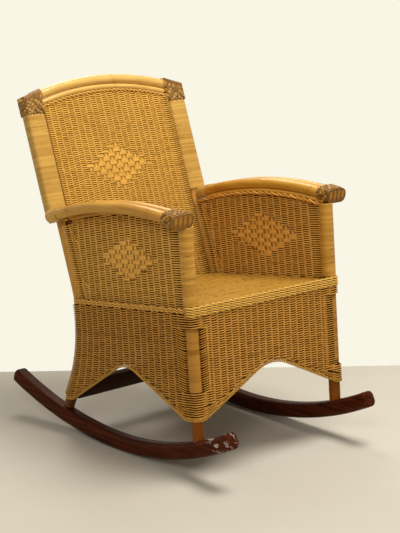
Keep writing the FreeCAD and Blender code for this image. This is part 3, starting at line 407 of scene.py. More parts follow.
def weaver(height, ends, stakes, signs, tall=REED_TALL, deep=REED_DEEP, lift=LIFT, end_depths=(0.0, 0.0)):
    """A weaver that runs along u, in front of a stake where its sign is 1 and behind where it is -1.
    height is a number or a function of u, and end_depths says how far its ends turn to the front."""
    gap = (stakes[-1] - stakes[0]) / (len(stakes) - 1) if len(stakes) > 1 else 20.0
    # Each knot is a place, its depth and size, and 1 or -1 where the stake hides the weaver's rear or front
    knots = [(ends[0], end_depths[0], 0.8, 0)]
    for i, (u, s) in enumerate(zip(stakes, signs)):
        if i:
            between = (u + stakes[i - 1]) / 2
            knots.append((between, lift * 0.8 * s, 1.0, s) if signs[i - 1] == s else (between, 0, 1.32, 0))
        knots += [(u - 0.32 * gap, lift * s, 1.0, s), (u + 0.32 * gap, lift * s, 1.0, s)]
    knots.append((ends[1], end_depths[1], 0.8, 0))
    us, ds, sizes, fronts = np.array(sorted(knots, key=lambda knot: knot[0])).T
    level = height(us) if callable(height) else height
    middles = columns(us, level + rng.normal(0, 0.12, len(us)), ds)
    tone = np.clip(0.5 + rng.normal(0, 0.12) + rng.normal(0, 0.2, len(us)), 0, 1)
    # Painted shade: the weaver is darkened where a stake hides its front or rear.
    behind_shade = np.interp(columns(fronts, -fronts), (-1, 0, 1), (1.0, 0.12, 0.0))
    return middles, columns(0, tall * sizes, 0), columns(0, 0, deep * np.sqrt(sizes)), tone, behind_shade


def stake(u, low, high, gap=20.0, inside=None):
    """A stake that runs up at u, darkened as painted shade except where it shows in the diamond, and beside it a dark
    strip, painted shade of the weave's hollow.
    """
    vs = np.linspace(low, high, 1 + int((high - low) / (9 if inside else 40) + 1))
    middles = columns(u, vs, 0)
    shown = np.array([bool(inside and inside(u, v)) for v in vs])
    # Painted shade: the stake is darkened where weavers cover it, and the wide strip behind it is a dark backing that
    # stands in for shade.
    return [(middles, (-3.6, 0, 0), (0, 0, 0.8), 0.5, np.where(shown, 0.05, 0.9)),
            (middles, (-0.38 * gap, 0, 0), (0, 0, 0.4), 0.5, np.where(shown, 0.5, 1.0))]


def shade_strip(u, low, high, wide, depth=0.0):
    """A dark strip behind the weave, painted shade, from low to high; u is its place at both ends."""
    middles = np.array([(u[0], low, depth), (u[-1], high, depth)])
    return middles, (-wide, 0, 0), (0, 0, 0.5), 0.0, 1.0


def edge_shade_strip(line):
    """A dark strip behind the weave, painted shade, along the line where its level rows begin over a hem."""
    return columns(*line.T, SHADE_STRIP_DEPTH), (0, 5, 0), (0, 0, 0.5), 0.0, 1.0


def diamond(middle, half_wide, half_tall):
    """Says whether a place lies in the diamond of basket weave."""
    return lambda u, v: abs(u - middle[0]) / half_wide + abs(v - middle[1]) / half_tall < 1


def sign_of(i, j, u, v, inside=None):
    if inside and inside(u, v):
        return 1 if (i + j // 4) % 2 else -1
    return 1 if (i + j) % 2 else -1


def row(j, v, ends, kept, inside=None, *sizes, **depths):
    """The weaver of row j at height v over the kept stakes, each given with its number."""
    signs = [sign_of(i, j, u, v, inside) for i, u in kept]
    return weaver(v, ends, [u for i, u in kept], signs, *sizes, **depths)


def skirt_row(stakes, outer, j, height, low, high, margin=2, fewest=1):
    """The weavers, one or none, of a skirt's row j from low to high; they pass in front of each outer stake."""
    kept = [(i, u) for i, u in enumerate(stakes) if low + margin < u < high - margin]
    if len(kept) < fewest or high - low <= 8:
        return []
    signs = [1 if outer(u) else sign_of(i, j, u, 0) for i, u in kept]
    return [weaver(height, (low, high), [u for i, u in kept], signs)]


def rounded(corners, radii, step=5.0):
    """A run of points through corners, each rounded by its radius."""
    corners = [np.array(c, float) for c in corners]
    out = [corners[0]]
    for before, corner, after, radius in zip(corners, corners[1:], corners[2:], radii):
        a, b = before - corner, after - corner
        a, b = a / np.linalg.norm(a), b / np.linalg.norm(b)
        half = math.acos(max(-1, min(1, float(a @ b)))) / 2
        reach = radius / math.tan(half)
        centre = corner + (a + b) / np.linalg.norm(a + b) * radius / math.sin(half)
        start, end = corner + a * reach - centre, corner + b * reach - centre
        angle = math.atan2(start[0] * end[1] - start[1] * end[0], float(start @ end))
        for t in np.linspace(0, angle, max(3, int(abs(angle) * radius / step) + 2)):
            c, s = math.cos(t), math.sin(t)
            out.append(centre + np.array([c * start[0] - s * start[1], s * start[0] + c * start[1]]))
    out.append(corners[-1])
    dense = [out[0]]
    for p, q in zip(out, out[1:]):
        count = max(1, int(np.linalg.norm(q - p) / step))
        dense += [p + (q - p) * k / count for k in range(1, count + 1)]
    return np.array(dense)


def rope(line, side_way, radius, count, pitch, facing, thin=0.6, per_turn=8, start=0.0):
    """Strands laid round a line as in a rope; side_way is never along the line, and facing is its outer side. Strands
    are painted darker where they turn away from facing, as painted shade.
    """
    line = np.asarray(line, float)
    along = lengths(line)
    places = np.linspace(0, along[-1], max(4, int(along[-1] / abs(pitch) * per_turn)))
    centre = along_line(places, along, line)
    forward = unit(np.gradient(centre, axis=0))
    out = np.broadcast_to(np.array(side_way, float), centre.shape)
    out = unit(out - forward * np.sum(out * forward, axis=1)[:, None])
    side = np.cross(forward, out)
    runs = []
    for k in range(count):
        turn = 2 * math.pi * (places / pitch + k / count) + start
        ray = np.cos(turn)[:, None] * out + np.sin(turn)[:, None] * side
        middles = centre + ray * radius * (1 - thin * 0.85)
        inner_shade = np.clip(0.34 - 0.85 * ray @ np.asarray(facing, float), 0, 1)
        runs.append((middles, out * radius * thin, side * radius * thin, rng.uniform(0.15, 0.95), inner_shade))
    return runs


def flat_place(matrix, axes):
    """Carries flat places u, v, d to a plane of a local frame; axes are the directions of u, v and d, and a start."""
    u, v, d, start = (np.array(a, float) for a in axes)
    return lambda p: carried(matrix, start + p[:, :1] * u + p[:, 1:2] * v + p[:, 2:] * d)


def woven(name, runs, sides, place, finish, *nodes, slot="woven_cane"):
    """A finished piece of strands, and the solids it stands for."""
    finished(strands(name, runs, sides, place), finish, nodes)


# Back

BACK_EDGE_R = 790
BACK_HALF = 216
BACK_FOOT, BACK_SHOULDER = 101, 634


def weave_back():
    """Level rows with a diamond of basket weave; beside the stiles every second row turns to the front."""
    place = flat_place(BACK, ((1, 0, 0), (0, 0, 1), (0, -1, 0), (0, 0, 0)))
    inside = diamond((-3, 451), 112, 66)
    stakes = np.linspace(-201, 201, 21) + rng.normal(0, 0.5, 21)
    runs = []
    for j, v in enumerate(np.arange(102, 666, ROW)):
        edge = BACK_EDGE_R ** 2 - (v + BOW_DROP) ** 2
        reach = math.sqrt(edge) if edge > 0 else 0
        kept = [(i, u) for i, u in enumerate(stakes) if abs(u) < reach - 6]
        if len(kept) < 3:
            continue
        rung = j % 2 and reach > BACK_HALF
        last = reach if reach < BACK_HALF else (215.2 if rung else kept[-1][1] + 5.5)
        turned = 11.0 if rung else 0.0
        runs.append(row(j, v, (-last, last), kept, inside, 1.9, end_depths=(turned, turned)))
    for u in stakes:
        runs += stake(u, BACK_FOOT, math.sqrt(BACK_EDGE_R ** 2 - u ** 2) - BOW_DROP, inside=inside)
    # Dark strips at the stiles' edges: painted shade in the gaps beside the weave.
    for sign in (-1, 1):
        middles = np.array([(sign * BACK_HALF, v, -1.0) for v in (BACK_FOOT, BACK_SHOULDER)])
        runs.append((middles, (-0.5, 0, 0), (0, 0, 13), 0.0, 1.0))
        runs.append(shade_strip([sign * 210.8], BACK_FOOT, BACK_SHOULDER, 6.0, -1.2))
    woven("back_weave", runs, 6, place, back_reed, "back_panel")
    turns = np.linspace(-0.272, 0.272, 80)
    radius = BACK_EDGE_R - 2.8
    line = columns(radius * np.sin(turns), -2.6, radius * np.cos(turns) - BOW_DROP)
    edging = rope(line, (0, -1, 0), 4.4, 2, 30, (0, -1, 0), 0.58, 12)
    woven("back_top_edging", edging, 6, held(BACK), braid_reed)


# Arms

ARM_SHEET_R, ARM_STAKE_R = 1088.2, 1088


def weave_arm(side, sign):
    """The sheet under an arm; at the rear its weavers turn round the post, in and out by turns."""
    place = flat_place(IN_LINE[sign], ((0, 1, 0), (0, 0, 1), (sign, 0, 0), (0, 0, 0)))
    inside = diamond((219, 510), *((116, 58) if sign < 0 else (132, 62)))
    gap = 25.3
    stakes = 30 + gap * np.arange(18) + rng.normal(0, 0.5, 18)
    runs = []
    for j, v in enumerate(np.arange(395, 624, ROW)):
        front, rear = SHEET_OUT + leg_line(v), post_line(v) - 15.7
        under = ARM_SHEET_R ** 2 - (v - ARM_Z) ** 2
        if under <= 0:
            continue
        half = math.sqrt(under)
        low, high = max(front, ARM_Y - half), min(rear, ARM_Y + half)
        open_end = high == rear
        kept = [(i, u) for i, u in enumerate(stakes) if low + 4 < u < (rear - 31 if open_end else high - 5)]
        if len(kept) < 3:
            continue
        if open_end:
            kept.append((kept[-1][0] + 1, rear - 20))
            out = 1 if j % 2 else -1
            middles = np.array([(rear - 21, v, out * 1.6), (rear - 11, v, out * 2.6), (rear - 2, v, out * 6.5),
                                (rear + 5, v, out * 12.5)])
            runs.append((middles, (0, 1.25, 0), (0, 0, 1.25), rng.uniform(0.3, 0.9), 0.1))
        runs.append(row(j, v, (low, rear - 14 if open_end else high), kept, inside))
    for u in stakes:
        foot = max(394, KNEE_Z + (u + 40 - KNEE_Y) / RAKE)
        top = ARM_Z + math.sqrt(ARM_STAKE_R ** 2 - (u - ARM_Y) ** 2)
        if top - foot > 12:
            runs += stake(u, foot, top, gap, inside)
    # Dark strips at the panel's front and rear edges: painted shade in the gaps by the posts.
    runs += [shade_strip([22 + leg_line(v) for v in (395, 596)], 395, 596, 5.0), shade_strip([12.0], 395, 597, 12.0)]
    for before, wide in ((36, 3.0), (25, 12.0)):
        runs.append(shade_strip([post_line(v) - before for v in (394, 606)], 394, 606, wide))
    woven(f"{side}_arm_weave", runs, 6, place, woven_reed, f"{side}_arm_panel")
    runs = []
    # The border under the arm, then a short thicker rope at its front end
    for x, radius, first, last, count, thick, pitch, per_turn in ((229.8, 1089, -13.7, 12.2, 90, 5.2, 72, 16),
                                                                  (236, 1096, -14.0, -12.3, 12, 5.6, 40, 12)):
        turns = np.radians(np.linspace(first, last, count))
        line = columns(sign * x, ARM_Y + radius * np.sin(turns), ARM_Z + radius * np.cos(turns))
        runs += rope(line, (-sign, 0, 0), thick, 3, pitch, (-sign, 0, 0), 0.52, per_turn)
    woven(f"{side}_arm_braid", runs, 6, held(Matrix()), skirt_reed)


# Seat

def weave_seat():
    """A close mat between the arm panels."""
    place = flat_place(Matrix(), ((1, 0, 0), (0, 1, 0), (0, 0, 1), (0, 0, SEAT_Z - 2.1)))
    stakes = np.linspace(-230, 230, 34)
    runs = []
    for j, v in enumerate(np.arange(-28, 443, 3.8)):
        half = 224 if v < 3 else (218 if v > 430 else 238 - (v - 3) * 0.0145)
        kept = [(i, u) for i, u in enumerate(stakes) if abs(u) < half - 4]
        runs.append(row(j, v, (-half, half), kept, None, 2.1, 1.1, 0.75))
    for u in stakes:
        runs += stake(u, -28 if abs(u) < 222 else 4, 443 if abs(u) < 216 else 428, 14)
    woven("seat_weave", runs, 5, place, seat_reed, "seat_deck", slot="seat_cane")


# Skirt

def cross_arch(end, half, peak, step=5.0):
    """The lower edge of the front or rear sheet, or its hem, between two ends."""
    corners = [(-end, HEM_Z), (-half, HEM_Z), (0, peak), (half, HEM_Z), (end, HEM_Z)]
    return rounded(corners, (34, 118, 34), step)


def side_arch(front, rear, peak, step=5.0):
    corners = [(front, HEM_Z), (20, HEM_Z), (245, peak), (500, HEM_Z), (rear, HEM_Z)]
    return rounded(corners, (34, 85, 34), step)


FRONT_ARCH = cross_arch(290, 232, 240.3)
SIDE_ARCH = side_arch(-30, 560, 251.3)
REAR_ARCH = cross_arch(290, 210.5, 240)
SKIRT_ROWS = np.arange(128.5, 386, ROW)
FRONT_TOP = 384
FRONT_REACH = (269.8, 226)  # of even and odd rows: round the leg, or only up to it
SIDE_LONG = 450
HEM_ROWS, FULL_ROWS = 7, 2  # rows that follow a hem, and those of them that do so along all of it
FRONT_FOOT, SIDE_FEET = 180, (70, 395)  # where the other hem rows begin
# The open ladder beside each front leg: its lowest and highest row, and the front sheet's end there
WINDOW = {-1: (191.3, 349.3), 1: (168.0, 356.0)}
WINDOW_EDGE = {-1: 209.5, 1: 199.5}


def stretches(clear):
    """The first number of each run of clear places, and the number after its last."""
    return np.flatnonzero(np.diff(np.concatenate([[0], clear.astype(int), [0]]))).reshape(-1, 2)


def spans_over(arch, z, low, high):
    """The stretches between low and high where the sheet stands above its arch at height z."""
    spots = np.linspace(low, high, 160)
    clear = np.interp(spots, *arch.T) <= z + 0.5
    spans = [(spots[a], spots[min(b, len(spots) - 1)]) for a, b in stretches(clear)]
    return [(a, b) for a, b in spans if b - a > 14]


def hem_rise(beyond):
    """The height of the rows along a hem, at a distance beyond the place where the last of them begin."""
    return ROW * (FULL_ROWS + (HEM_ROWS - FULL_ROWS) * np.clip(beyond / 30, 0, 1))


def wrapped(u, d, middle):
    """Across, and out from the legs' or posts' axes, on a sheet that is flat between them and bent round them."""
    over = np.clip((np.abs(u) - middle) / SHEET_OUT, 0, None)
    far = SHEET_OUT + d
    return np.where(over > 0, np.sign(u) * (middle + far * np.sin(over)), u), far * np.cos(over)


def front_place(p):
    """Carries places to the front sheet; v is height."""
    u, v, d = p.T
    x, off = wrapped(u, d, LEG_X)
    return carried(FRONT, columns(x, -off, v - FOOT_Z))


def weave_front():
    """Level rows above, and rows that follow the arch along its hem; at the legs every second row goes round."""
    stakes = np.concatenate([[-263, -247], np.linspace(-207, 197, 19), [247, 263]])
    runs = []

    def at_leg(u):
        return abs(u) > 215

    border = FRONT_ARCH.copy()
    border[:, 1] += hem_rise(np.abs(border[:, 0]) - FRONT_FOOT)
    for j, z in enumerate(SKIRT_ROWS):
        if z > FRONT_TOP:
            break
        reach = [WINDOW_EDGE[sign] if WINDOW[sign][0] < z < WINDOW[sign][1] else FRONT_REACH[j % 2]
                 for sign in (-1, 1)]
        for low, high in spans_over(border, z, -reach[0], reach[1]):
            runs += skirt_row(stakes, at_leg, j, z, low, high)
    for k in range(HEM_ROWS):
        reach, start = FRONT_REACH[k % 2], FRONT_FOOT + 6 * (k - FULL_ROWS)
        for low, high in [(-reach, reach)] if k < FULL_ROWS else [(-reach, -start), (start, reach)]:
            runs += skirt_row(stakes, at_leg, k, lambda u: np.interp(u, *FRONT_ARCH.T) + 1.5 + k * ROW, low, high)
    for u in stakes[2:-2]:
        runs += stake(u, float(np.interp(u, *FRONT_ARCH.T)), FRONT_TOP, 23)
    # Dark strips behind the hem rows and at the leg windows: painted shade of the skirt's inside.
    runs.append(edge_shade_strip(border[np.abs(border[:, 0]) < 268] + (0, 1.5)))
    for sign, (low, high) in WINDOW.items():
        for u in np.arange(214 if sign < 0 else 207, 272, 8.0):
            u, hem = min(u, 265.5), float(np.interp(u, *FRONT_ARCH.T))
            for foot, head in ((hem, low), (high, FRONT_TOP)):
                runs.append(shade_strip([sign * u], foot, head, 5.2, SHADE_STRIP_DEPTH))
    woven("front_skirt_weave", runs, 6, front_place, skirt_reed, "front_skirt")


def side_line(t, z):
    """Y of the side sheet, t of the way from the front leg to the rear post, at height z."""
    front, post = SHEET_GAP + leg_line(z), 447
    rear = swept(z, BEND_R + SHEET_GAP)[0]
    return front * (1 - t) + post * t + t ** 2 * (rear - post)


def weave_side(side, sign):
    """Rows as in front; u runs from 0 at the front leg to SIDE_LONG at the rear post."""
    def place(p):
        u, v, d = p.T
        return carried(FLANK[sign], columns(sign * (3 + d), side_line(u / SIDE_LONG, v), v))

    def at_leg(u):
        return u < 20

    stakes = np.concatenate([[14], np.linspace(42, 440, 17)])
    spots = np.linspace(0, SIDE_LONG, 226)
    # The sheet leans, so the height of its arch over a spot is found in a few steps
    foot = np.full(len(spots), 135.0)
    for step in range(4):
        foot = np.interp(side_line(spots / SIDE_LONG, foot), *SIDE_ARCH.T)
    runs = []
    border = foot + hem_rise(np.maximum(SIDE_FEET[0] - spots, spots - SIDE_FEET[1]))
    for j, z in enumerate(SKIRT_ROWS):
        clear = border <= z + 0.5
        window = WINDOW[sign][0] < z < WINDOW[sign][1]
        if j % 2 or window:
            clear &= spots > (35.5 if window else 22)
        for a, b in stretches(clear):
            runs += skirt_row(stakes, at_leg, j, z, spots[a], spots[b - 1])
    for k in range(HEM_ROWS):
        first, shift = 35.5 if k % 2 else 0.0, 6 * (k - FULL_ROWS)
        near, far = SIDE_FEET[0] - shift, SIDE_FEET[1] + shift
        for low, high in [(first, SIDE_LONG)] if k < FULL_ROWS else [(first, near), (far, SIDE_LONG)]:
            runs += skirt_row(stakes, at_leg, k, lambda u: np.interp(u, spots, foot) + 1.5 + k * ROW, low, high)
    for u in stakes[1:]:
        runs += stake(u, float(np.interp(u, spots, foot)), 387, 24.9)
    # Dark strips behind the hem rows and at the leg window: painted shade of the skirt's inside.
    runs.append(edge_shade_strip(columns(spots, border + 1.5)))
    for u in (5.0, 13.0, 21.0, 29.0):
        for low, high in ((float(np.interp(u, spots, foot)), WINDOW[sign][0]), (WINDOW[sign][1], 386)):
            runs.append(shade_strip([u], low, high, 5.2, SHADE_STRIP_DEPTH))
    woven(f"{side}_skirt_weave", runs, 6, place, skirt_reed, f"{side}_skirt")


# Weavers at a leg window, seen from above: across and to the rear from the leg's axis, and the share of the dip.
# At the left leg they pass behind it; at the right leg they end at its front, and others leave from its rear.
BEHIND = np.array([(-35, -18.3, 0), (-25, -18, 0.3), (-18.5, -13, 0.65), (-16.4, -3, 0.9), (-11.8, 11.6, 1),
                   (0, 16.5, 1), (11, 17, 0.9), (16.6, 21, 0.6), (18.2, 27, 0.3), (18.3, 37, 0)])
BEFORE = np.array([(-46, -18.3, 0), (-36, -18.2, 0), (-26, -17.4, 0.1), (-15, -16.4, 0.2), (-6, -15.8, 0.3),
                   (-2.5, -14.2, 0.3)])
# The path of the dark sheet at the right leg, painted shade behind the weavers.
SHADE_SHEET = np.array([(-46, -13.6, 0), (-26, -12.6, 0), (-15, -12.9, 0), (-7.4, -14.3, 0)])


def along_leg(path, sign, z, dip, half, thick):
    """Middles and half widths of a strand or dark shade sheet that follows a path at a leg, half tall and thick deep.
    """
    line = path * (sign, 1, -dip) + (sign * LEG_X, leg_line(z), z)
    middles = along_line(np.linspace(0, len(path) - 1, 2 * len(path) - 1), np.arange(len(path)), line)
    forward = np.gradient(middles, axis=0)
    out = thick * unit(columns(forward[:, 1], -forward[:, 0], 0))
    return middles, (0, -half * LEAN, half), out


def weave_ladder(side, sign):
    """The weavers that cross the window beside the front leg, and the dark sheet behind them, painted shade of the
    chair's inside.
    """
    low, high = WINDOW[sign]
    runs = []
    for z in np.arange(low + 1, high + 6, 2 * ROW):
        dip = (9.0 if sign < 0 else 3.0) + rng.normal(0, 0.5)
        for path in [BEHIND] if sign < 0 else [BEFORE, BEHIND[4:]]:
            strand = along_leg(path, sign, z, dip, 1.55 if sign < 0 else 1.15, 1.3)
            runs.append((*strand, rng.uniform(0.3, 1), 0.08))
    middle, half = (low + high) / 2, 1.155 * ((high - low) / 2 + 6)
    # Dark sheets behind the weavers: painted shade.
    for path in [BEHIND + (-3.6, 3.6, 0)] if sign < 0 else [SHADE_SHEET, BEHIND[4:] + (-3.6, 3.6, 0)]:
        runs.append((*along_leg(path, sign, middle, 0.0, half, 0.4), 0.0, 1.0))
    woven(f"{side}_leg_rungs", runs, 6, held(Matrix()), skirt_reed)


def rear_place(p):
    """Carries places to the rear sheet, swept back with the posts' feet; v is height."""
    u, v, d = p.T
    x, off = wrapped(u, d, POST_X)
    y, angle = swept(v, BEND_R)
    return carried(Matrix(), columns(x, y + off * np.cos(angle), v - off * np.sin(angle)))


def weave_rear():
    stakes = np.concatenate([[-256, -241], np.linspace(-212, 212, 19), [241, 256]])
    runs = []
    for j, z in enumerate(SKIRT_ROWS):
        for low, high in spans_over(REAR_ARCH, z - 6, -263, 263):
            if j % 2:
                low, high = max(low, -217), min(high, 217)
            runs += skirt_row(stakes, lambda u: abs(u) > 230, j, z, low, high, 3, 2)
    for u in stakes[2:-2]:
        runs += stake(u, float(np.interp(u, *REAR_ARCH.T)) + 4, 386, 23.5)
    # Dark strip behind the hem rows: painted shade of the skirt's inside.
    runs.append(edge_shade_strip(REAR_ARCH[np.abs(REAR_ARCH[:, 0]) < 262] + (0, 7.0)))
    woven("rear_skirt_weave", runs, 6, rear_place, skirt_reed, "rear_skirt")


def hem_ropes(line, facing):
    """Two thin wrapped edges, one above the other."""
    runs = []
    for drop in (1.9, 5.9):
        runs += rope(line - (0, 0, drop), (0, 0, 1), 2.2, 2, 15, facing, 0.58, 8)
    return runs


def make_hems():
    arch = cross_arch(270, 232, 240, 4.0)
    end = LEG_X + SHEET_OUT * math.pi / 2
    x, off = wrapped(np.clip(arch[:, 0], -end, end), 1.3, LEG_X)
    runs = hem_ropes(columns(x, -off, arch[:, 1] - FOOT_Z), (0, -1, 0))
    woven("front_hem_ropes", runs, 5, held(FRONT), hem_reed, "front_skirt_hem")
    arch = side_arch(-3, 533, 251, 4.0)
    for side, sign in SIDES:
        runs = hem_ropes(columns(sign * 4.5, *arch.T), (sign, 0, 0))
        woven(f"{side}_hem_ropes", runs, 5, held(FLANK[sign]), hem_reed, f"{side}_skirt_hem")
    line = np.array([(x, z + 4, 1.0) for x, z in REAR_ARCH if abs(x) < 262])
    runs = rope(line, (0, 1, 0), 2.4, 2, 12, (0, 0, 1), 0.64, 6)
    woven("rear_hem_rope", runs, 5, rear_place, hem_reed)


def make_seat_braids():
    runs = []
    turns = np.linspace(0, math.pi / 2, 10)
    far = 19.8
    for level in (381.9, 388.2, 394.5, 400.8):
        left = [(-LEG_X - far * math.cos(t), -far * math.sin(t), level - FOOT_Z) for t in turns]
        right = [(-x, y, z) for x, y, z in reversed(left)]
        runs += rope(left + right, (0, 0, 1), 3.5, 2, 38, (0, -0.9, 0.45), 0.62, 14, level)
    woven("front_braid_ropes", runs, 6, held(FRONT), braid_reed, "front_seat_braid")
    for side, sign in SIDES:
        runs = []
        for x, level, size in ((4.4, 391.0, 3.2), (4.0, 396.8, 3.2), (-5.6, 393.5, 6.2)):
            line = [(sign * x, y, level) for y in np.linspace(-12 if x > 0 else 12, 446 if x > 0 else 428, 60)]
            runs += rope(line, (0, 0, 1), size, 2, 12 * size, (sign, 0, 0.3), 0.6, 12)
        woven(f"{side}_braid_ropes", runs, 5, held(FLANK[sign]), woven_reed, f"{side}_seat_braid")


# Rear stretcher

def cube(name, rise=0):
    """A cube of size 1 with its middle raised by rise."""
    deselect()
    bpy.ops.mesh.primitive_cube_add(size=1, location=(0, 0, rise))
    bpy.ops.object.transform_apply(location=True)
    piece = bpy.context.object
    piece.name = piece.data.name = name
    return piece


def modify(piece, kind, **settings):
    """Applies a modifier to the active piece."""
    item = piece.modifiers.new(kind, kind)
    for key, setting in settings.items():
        setattr(item, key, setting)
    bpy.ops.object.modifier_apply(modifier=item.name)


def make_stretcher():
    """The dark board between the rear posts, in line with their feet; the solid it stands for is a round pole."""
    piece = cube("rear_stretcher_board")
    long, thick, deep = 438.4, 22, 56
    piece.data.transform(Matrix.Diagonal((long, thick, deep, 1)))
    modify(piece, "BEVEL", width=5, segments=4)
    middle_z = 139.5
    middle_y = KNEE_Y + (KNEE_Z - middle_z) * math.tan(SWEEP)
    piece.data.transform(WORLD @ tilted((0, middle_y, middle_z), SWEEP))
    bpy.ops.object.shade_smooth_by_angle(angle=math.radians(50))
    finished(piece, dark_pole, ["rear_stretcher"])


# Wound peel

def choose(by, kind, test):
    """Selects the faces or edges of the mesh in edit mode that pass the test."""
    bpy.ops.mesh.select_mode(type=by)
    bpy.ops.mesh.select_all(action="DESELECT")
    mode("OBJECT")
    for item in getattr(bpy.context.object.data, kind):
        item.select = test(item)
    mode("EDIT")


def wound_sleeve(name, size, middle, corner, turns, pitch, matrix, groove=0.55, wall=2.2):
    """Turns of flat peel round a post: one turn is shaped, then repeated along the post.
    size is the outline across and deep, middle its place, and the first turn starts at the local height middle[2]."""
    piece = cube(name, 0.5)
    mode("EDIT")
    choose("FACE", "polygons", lambda face: abs(face.normal.z) > 0.5)
    bpy.ops.mesh.delete(type="ONLY_FACE")
    bpy.ops.mesh.select_all(action="SELECT")
    bpy.ops.transform.resize(value=(size[0], size[1], pitch))

    def upright(edge):
        a, b = (piece.data.vertices[k].co for k in edge.vertices)
        return abs(a.z - b.z) > 0.5 * pitch

    choose("EDGE", "edges", upright)
    bpy.ops.mesh.bevel(offset=corner, segments=7, affect="EDGES")
    bpy.ops.mesh.select_mode(type="FACE")
    bpy.ops.mesh.select_all(action="SELECT")
    bpy.ops.mesh.inset(thickness=0.22 * pitch, depth=0)
    mode("OBJECT")
    for vertex in piece.data.vertices:
        level = vertex.co.z
        if min(level, pitch - level) < 0.02 * pitch:
            inward = Vector((vertex.co.x / size[0], vertex.co.y / size[1], 0)).normalized()
            vertex.co -= inward * groove
    modify(piece, "SOLIDIFY", thickness=wall, offset=-1)
    modify(piece, "ARRAY", use_relative_offset=False, use_constant_offset=True,
           constant_offset_displace=(0, 0, pitch), count=turns)
    co = np.zeros(len(piece.data.vertices) * 3)
    piece.data.vertices.foreach_get("co", co)
    co = co.reshape(-1, 3)
    step = np.clip((co[:, 2] / pitch - 1e-6).astype(int), 0, turns - 1)
    within = co[:, 2] / pitch - step
    tones = rng.uniform(0, 1, turns)
    tones[rng.uniform(0, 1, turns) < 0.1] *= 0.3
    shades = np.where(np.minimum(within, 1 - within) < 0.05, 1.0, 0.0)
    shade(piece.data, tones[step], shades)
    piece.data.transform(WORLD @ matrix @ Matrix.Translation(middle))
    bpy.ops.object.shade_smooth_by_angle(angle=math.radians(50))
    return piece


def wind_peel():
    for side, sign in SIDES:
        slope = on_arm(sign, -11.4, -21) @ Matrix.Rotation(math.radians(-90), 4, "X")
        for place, finish, node, *sizes in (
                ("back", wound_peel, "back_wrap", (59.9, 35.6), (sign * 246.65, 0, 354.2), 13, 50, 5.29, BACK),
                ("front", post_peel, "front_post_wrap", (36, 36), (sign * LEG_X, 0, 336.6), 17.2, 32, 6.1, FRONT,
                 0.7),
                ("arm", wound_peel, "arm_rear_lashing", (65.3, 35), (0, 0, 0), 17, 7, 6.0, slope, 0.6),
                ("leg", leg_peel, None, (31.6, 31.6), (sign * LEG_X, 0, 112), 15.4, 25, 7.0, FRONT, 0.35, 0.6)):
            piece = wound_sleeve(f"{side}_{place}_turns", *sizes)
            finished(piece, finish, [f"{side}_{node}"] if node else ())


# Plaited bindings

def plait(name, around, tall, place, width):
    """Flat strips that cross each other over and under at a slant, on a band that is around long and tall high."""
    runs = []
    step = width * 1.06
    root = math.sqrt(0.5)
    for way in (1, -1):
        for k in range(int(-tall / step * 1.5) - 2, int((around + tall) / (step / root)) + 4):
            foot = k * step / root
            ts = np.arange(-step, tall / root + step, step / 2)
            us, vs = foot + way * ts * root, ts * root
            keep = (vs > -0.01) & (vs < tall + 0.01) & (us > -0.01) & (us < around + 0.01)
            if keep.sum() < 3:
                continue
            index = np.flatnonzero(keep)
            us, vs = us[index], vs[index]
            crossing = np.cos(math.pi * (index / 2.0 + k)) * way
            middles = columns(us, vs, 1.3 + 0.9 * crossing)
            across = np.array([-way * root, root, 0]) * width * 0.46 * way
            # Strips are painted darker where they pass under, as painted shade.
            runs.append((middles, across, (0, 0, 0.8), rng.uniform(0, 1), np.clip(0.45 - 0.45 * crossing, 0, 1)))
    return strands(name, runs, 6, place)


def round_block(wide, deep, corner):
    """The length round a rounded block, and a function that lays flat places u, v, d round it."""
    corners = [(-wide, -deep), (wide, -deep), (wide, deep), (-wide, deep)]
    ring = rounded([(0, -deep)] + corners[1:] + [corners[0], (0, -deep)], (corner,) * 4, 2.0)
    steps = lengths(ring)
    ways = np.gradient(ring, axis=0)
    ways = unit(columns(ways[:, 1], -ways[:, 0]))

    def at(p):
        spots = p[:, 0] % steps[-1]
        return along_line(spots, steps, ring) + along_line(spots, steps, ways) * p[:, 2:]

    return steps[-1], at


def bind_corners():
    for side, sign in SIDES:
        around, at = round_block(29.5, 17.6, 9)

        def place(p):
            x, y = at(p).T
            slant = -0.315 * sign * x * p[:, 1] / 46
            return carried(BACK, columns(sign * 247 + x, y, 616 + p[:, 1] + slant))

        finished(plait(f"top_{side}_plait", around, 44, place, 8.5), brown_plait)
        runs = []
        turns = np.linspace(0, 2 * math.pi, 25)
        for x in sign * np.array((214, 219.5, 225, 230.5, 236, 241.5)):
            height = math.sqrt(BOW_R ** 2 - x ** 2) - BOW_DROP
            out = columns(0, np.sin(turns), np.cos(turns))
            ring = (x, 0, height) + 15.4 * out
            runs.append((ring, (2.7, 0, -0.24 * sign), out * 1.5, rng.uniform(0.2, 1), 0.1))
        woven(f"top_{side}_turns", runs, 6, held(BACK), brown_plait, slot="braided_peel")


def bind_arms():
    for side, sign in SIDES:
        around, at = round_block(33.2, 18.2, 17)
        slope = on_arm(sign, 14.0)

        def place(p):
            x, z = at(p).T
            return carried(slope, columns(x, 24 - p[:, 1], z))

        finished(plait(f"{side}_arm_plait", around, 36, place, 8.5), arm_plait)
        runs = []
        for x in (-22, -7.4, 7.4, 22):
            tall = 17.5 if abs(x) < 15 else 14.5
            ts = np.linspace(-1, 1, 11)
            middles = columns(x, -13.2 - 4.2 * np.sqrt(np.clip(1 - ts ** 2, 0, 1)), tall * ts)
            # The bands are painted darker towards their ends, as shade where they bend in.
            runs.append((middles, (6.2, 0, 0), (0, -1.6, 0), rng.uniform(0.6, 1), np.abs(ts) * 0.5))
        woven(f"{side}_arm_end_bands", runs, 6, held(slope), pale_band, slot="braided_peel")


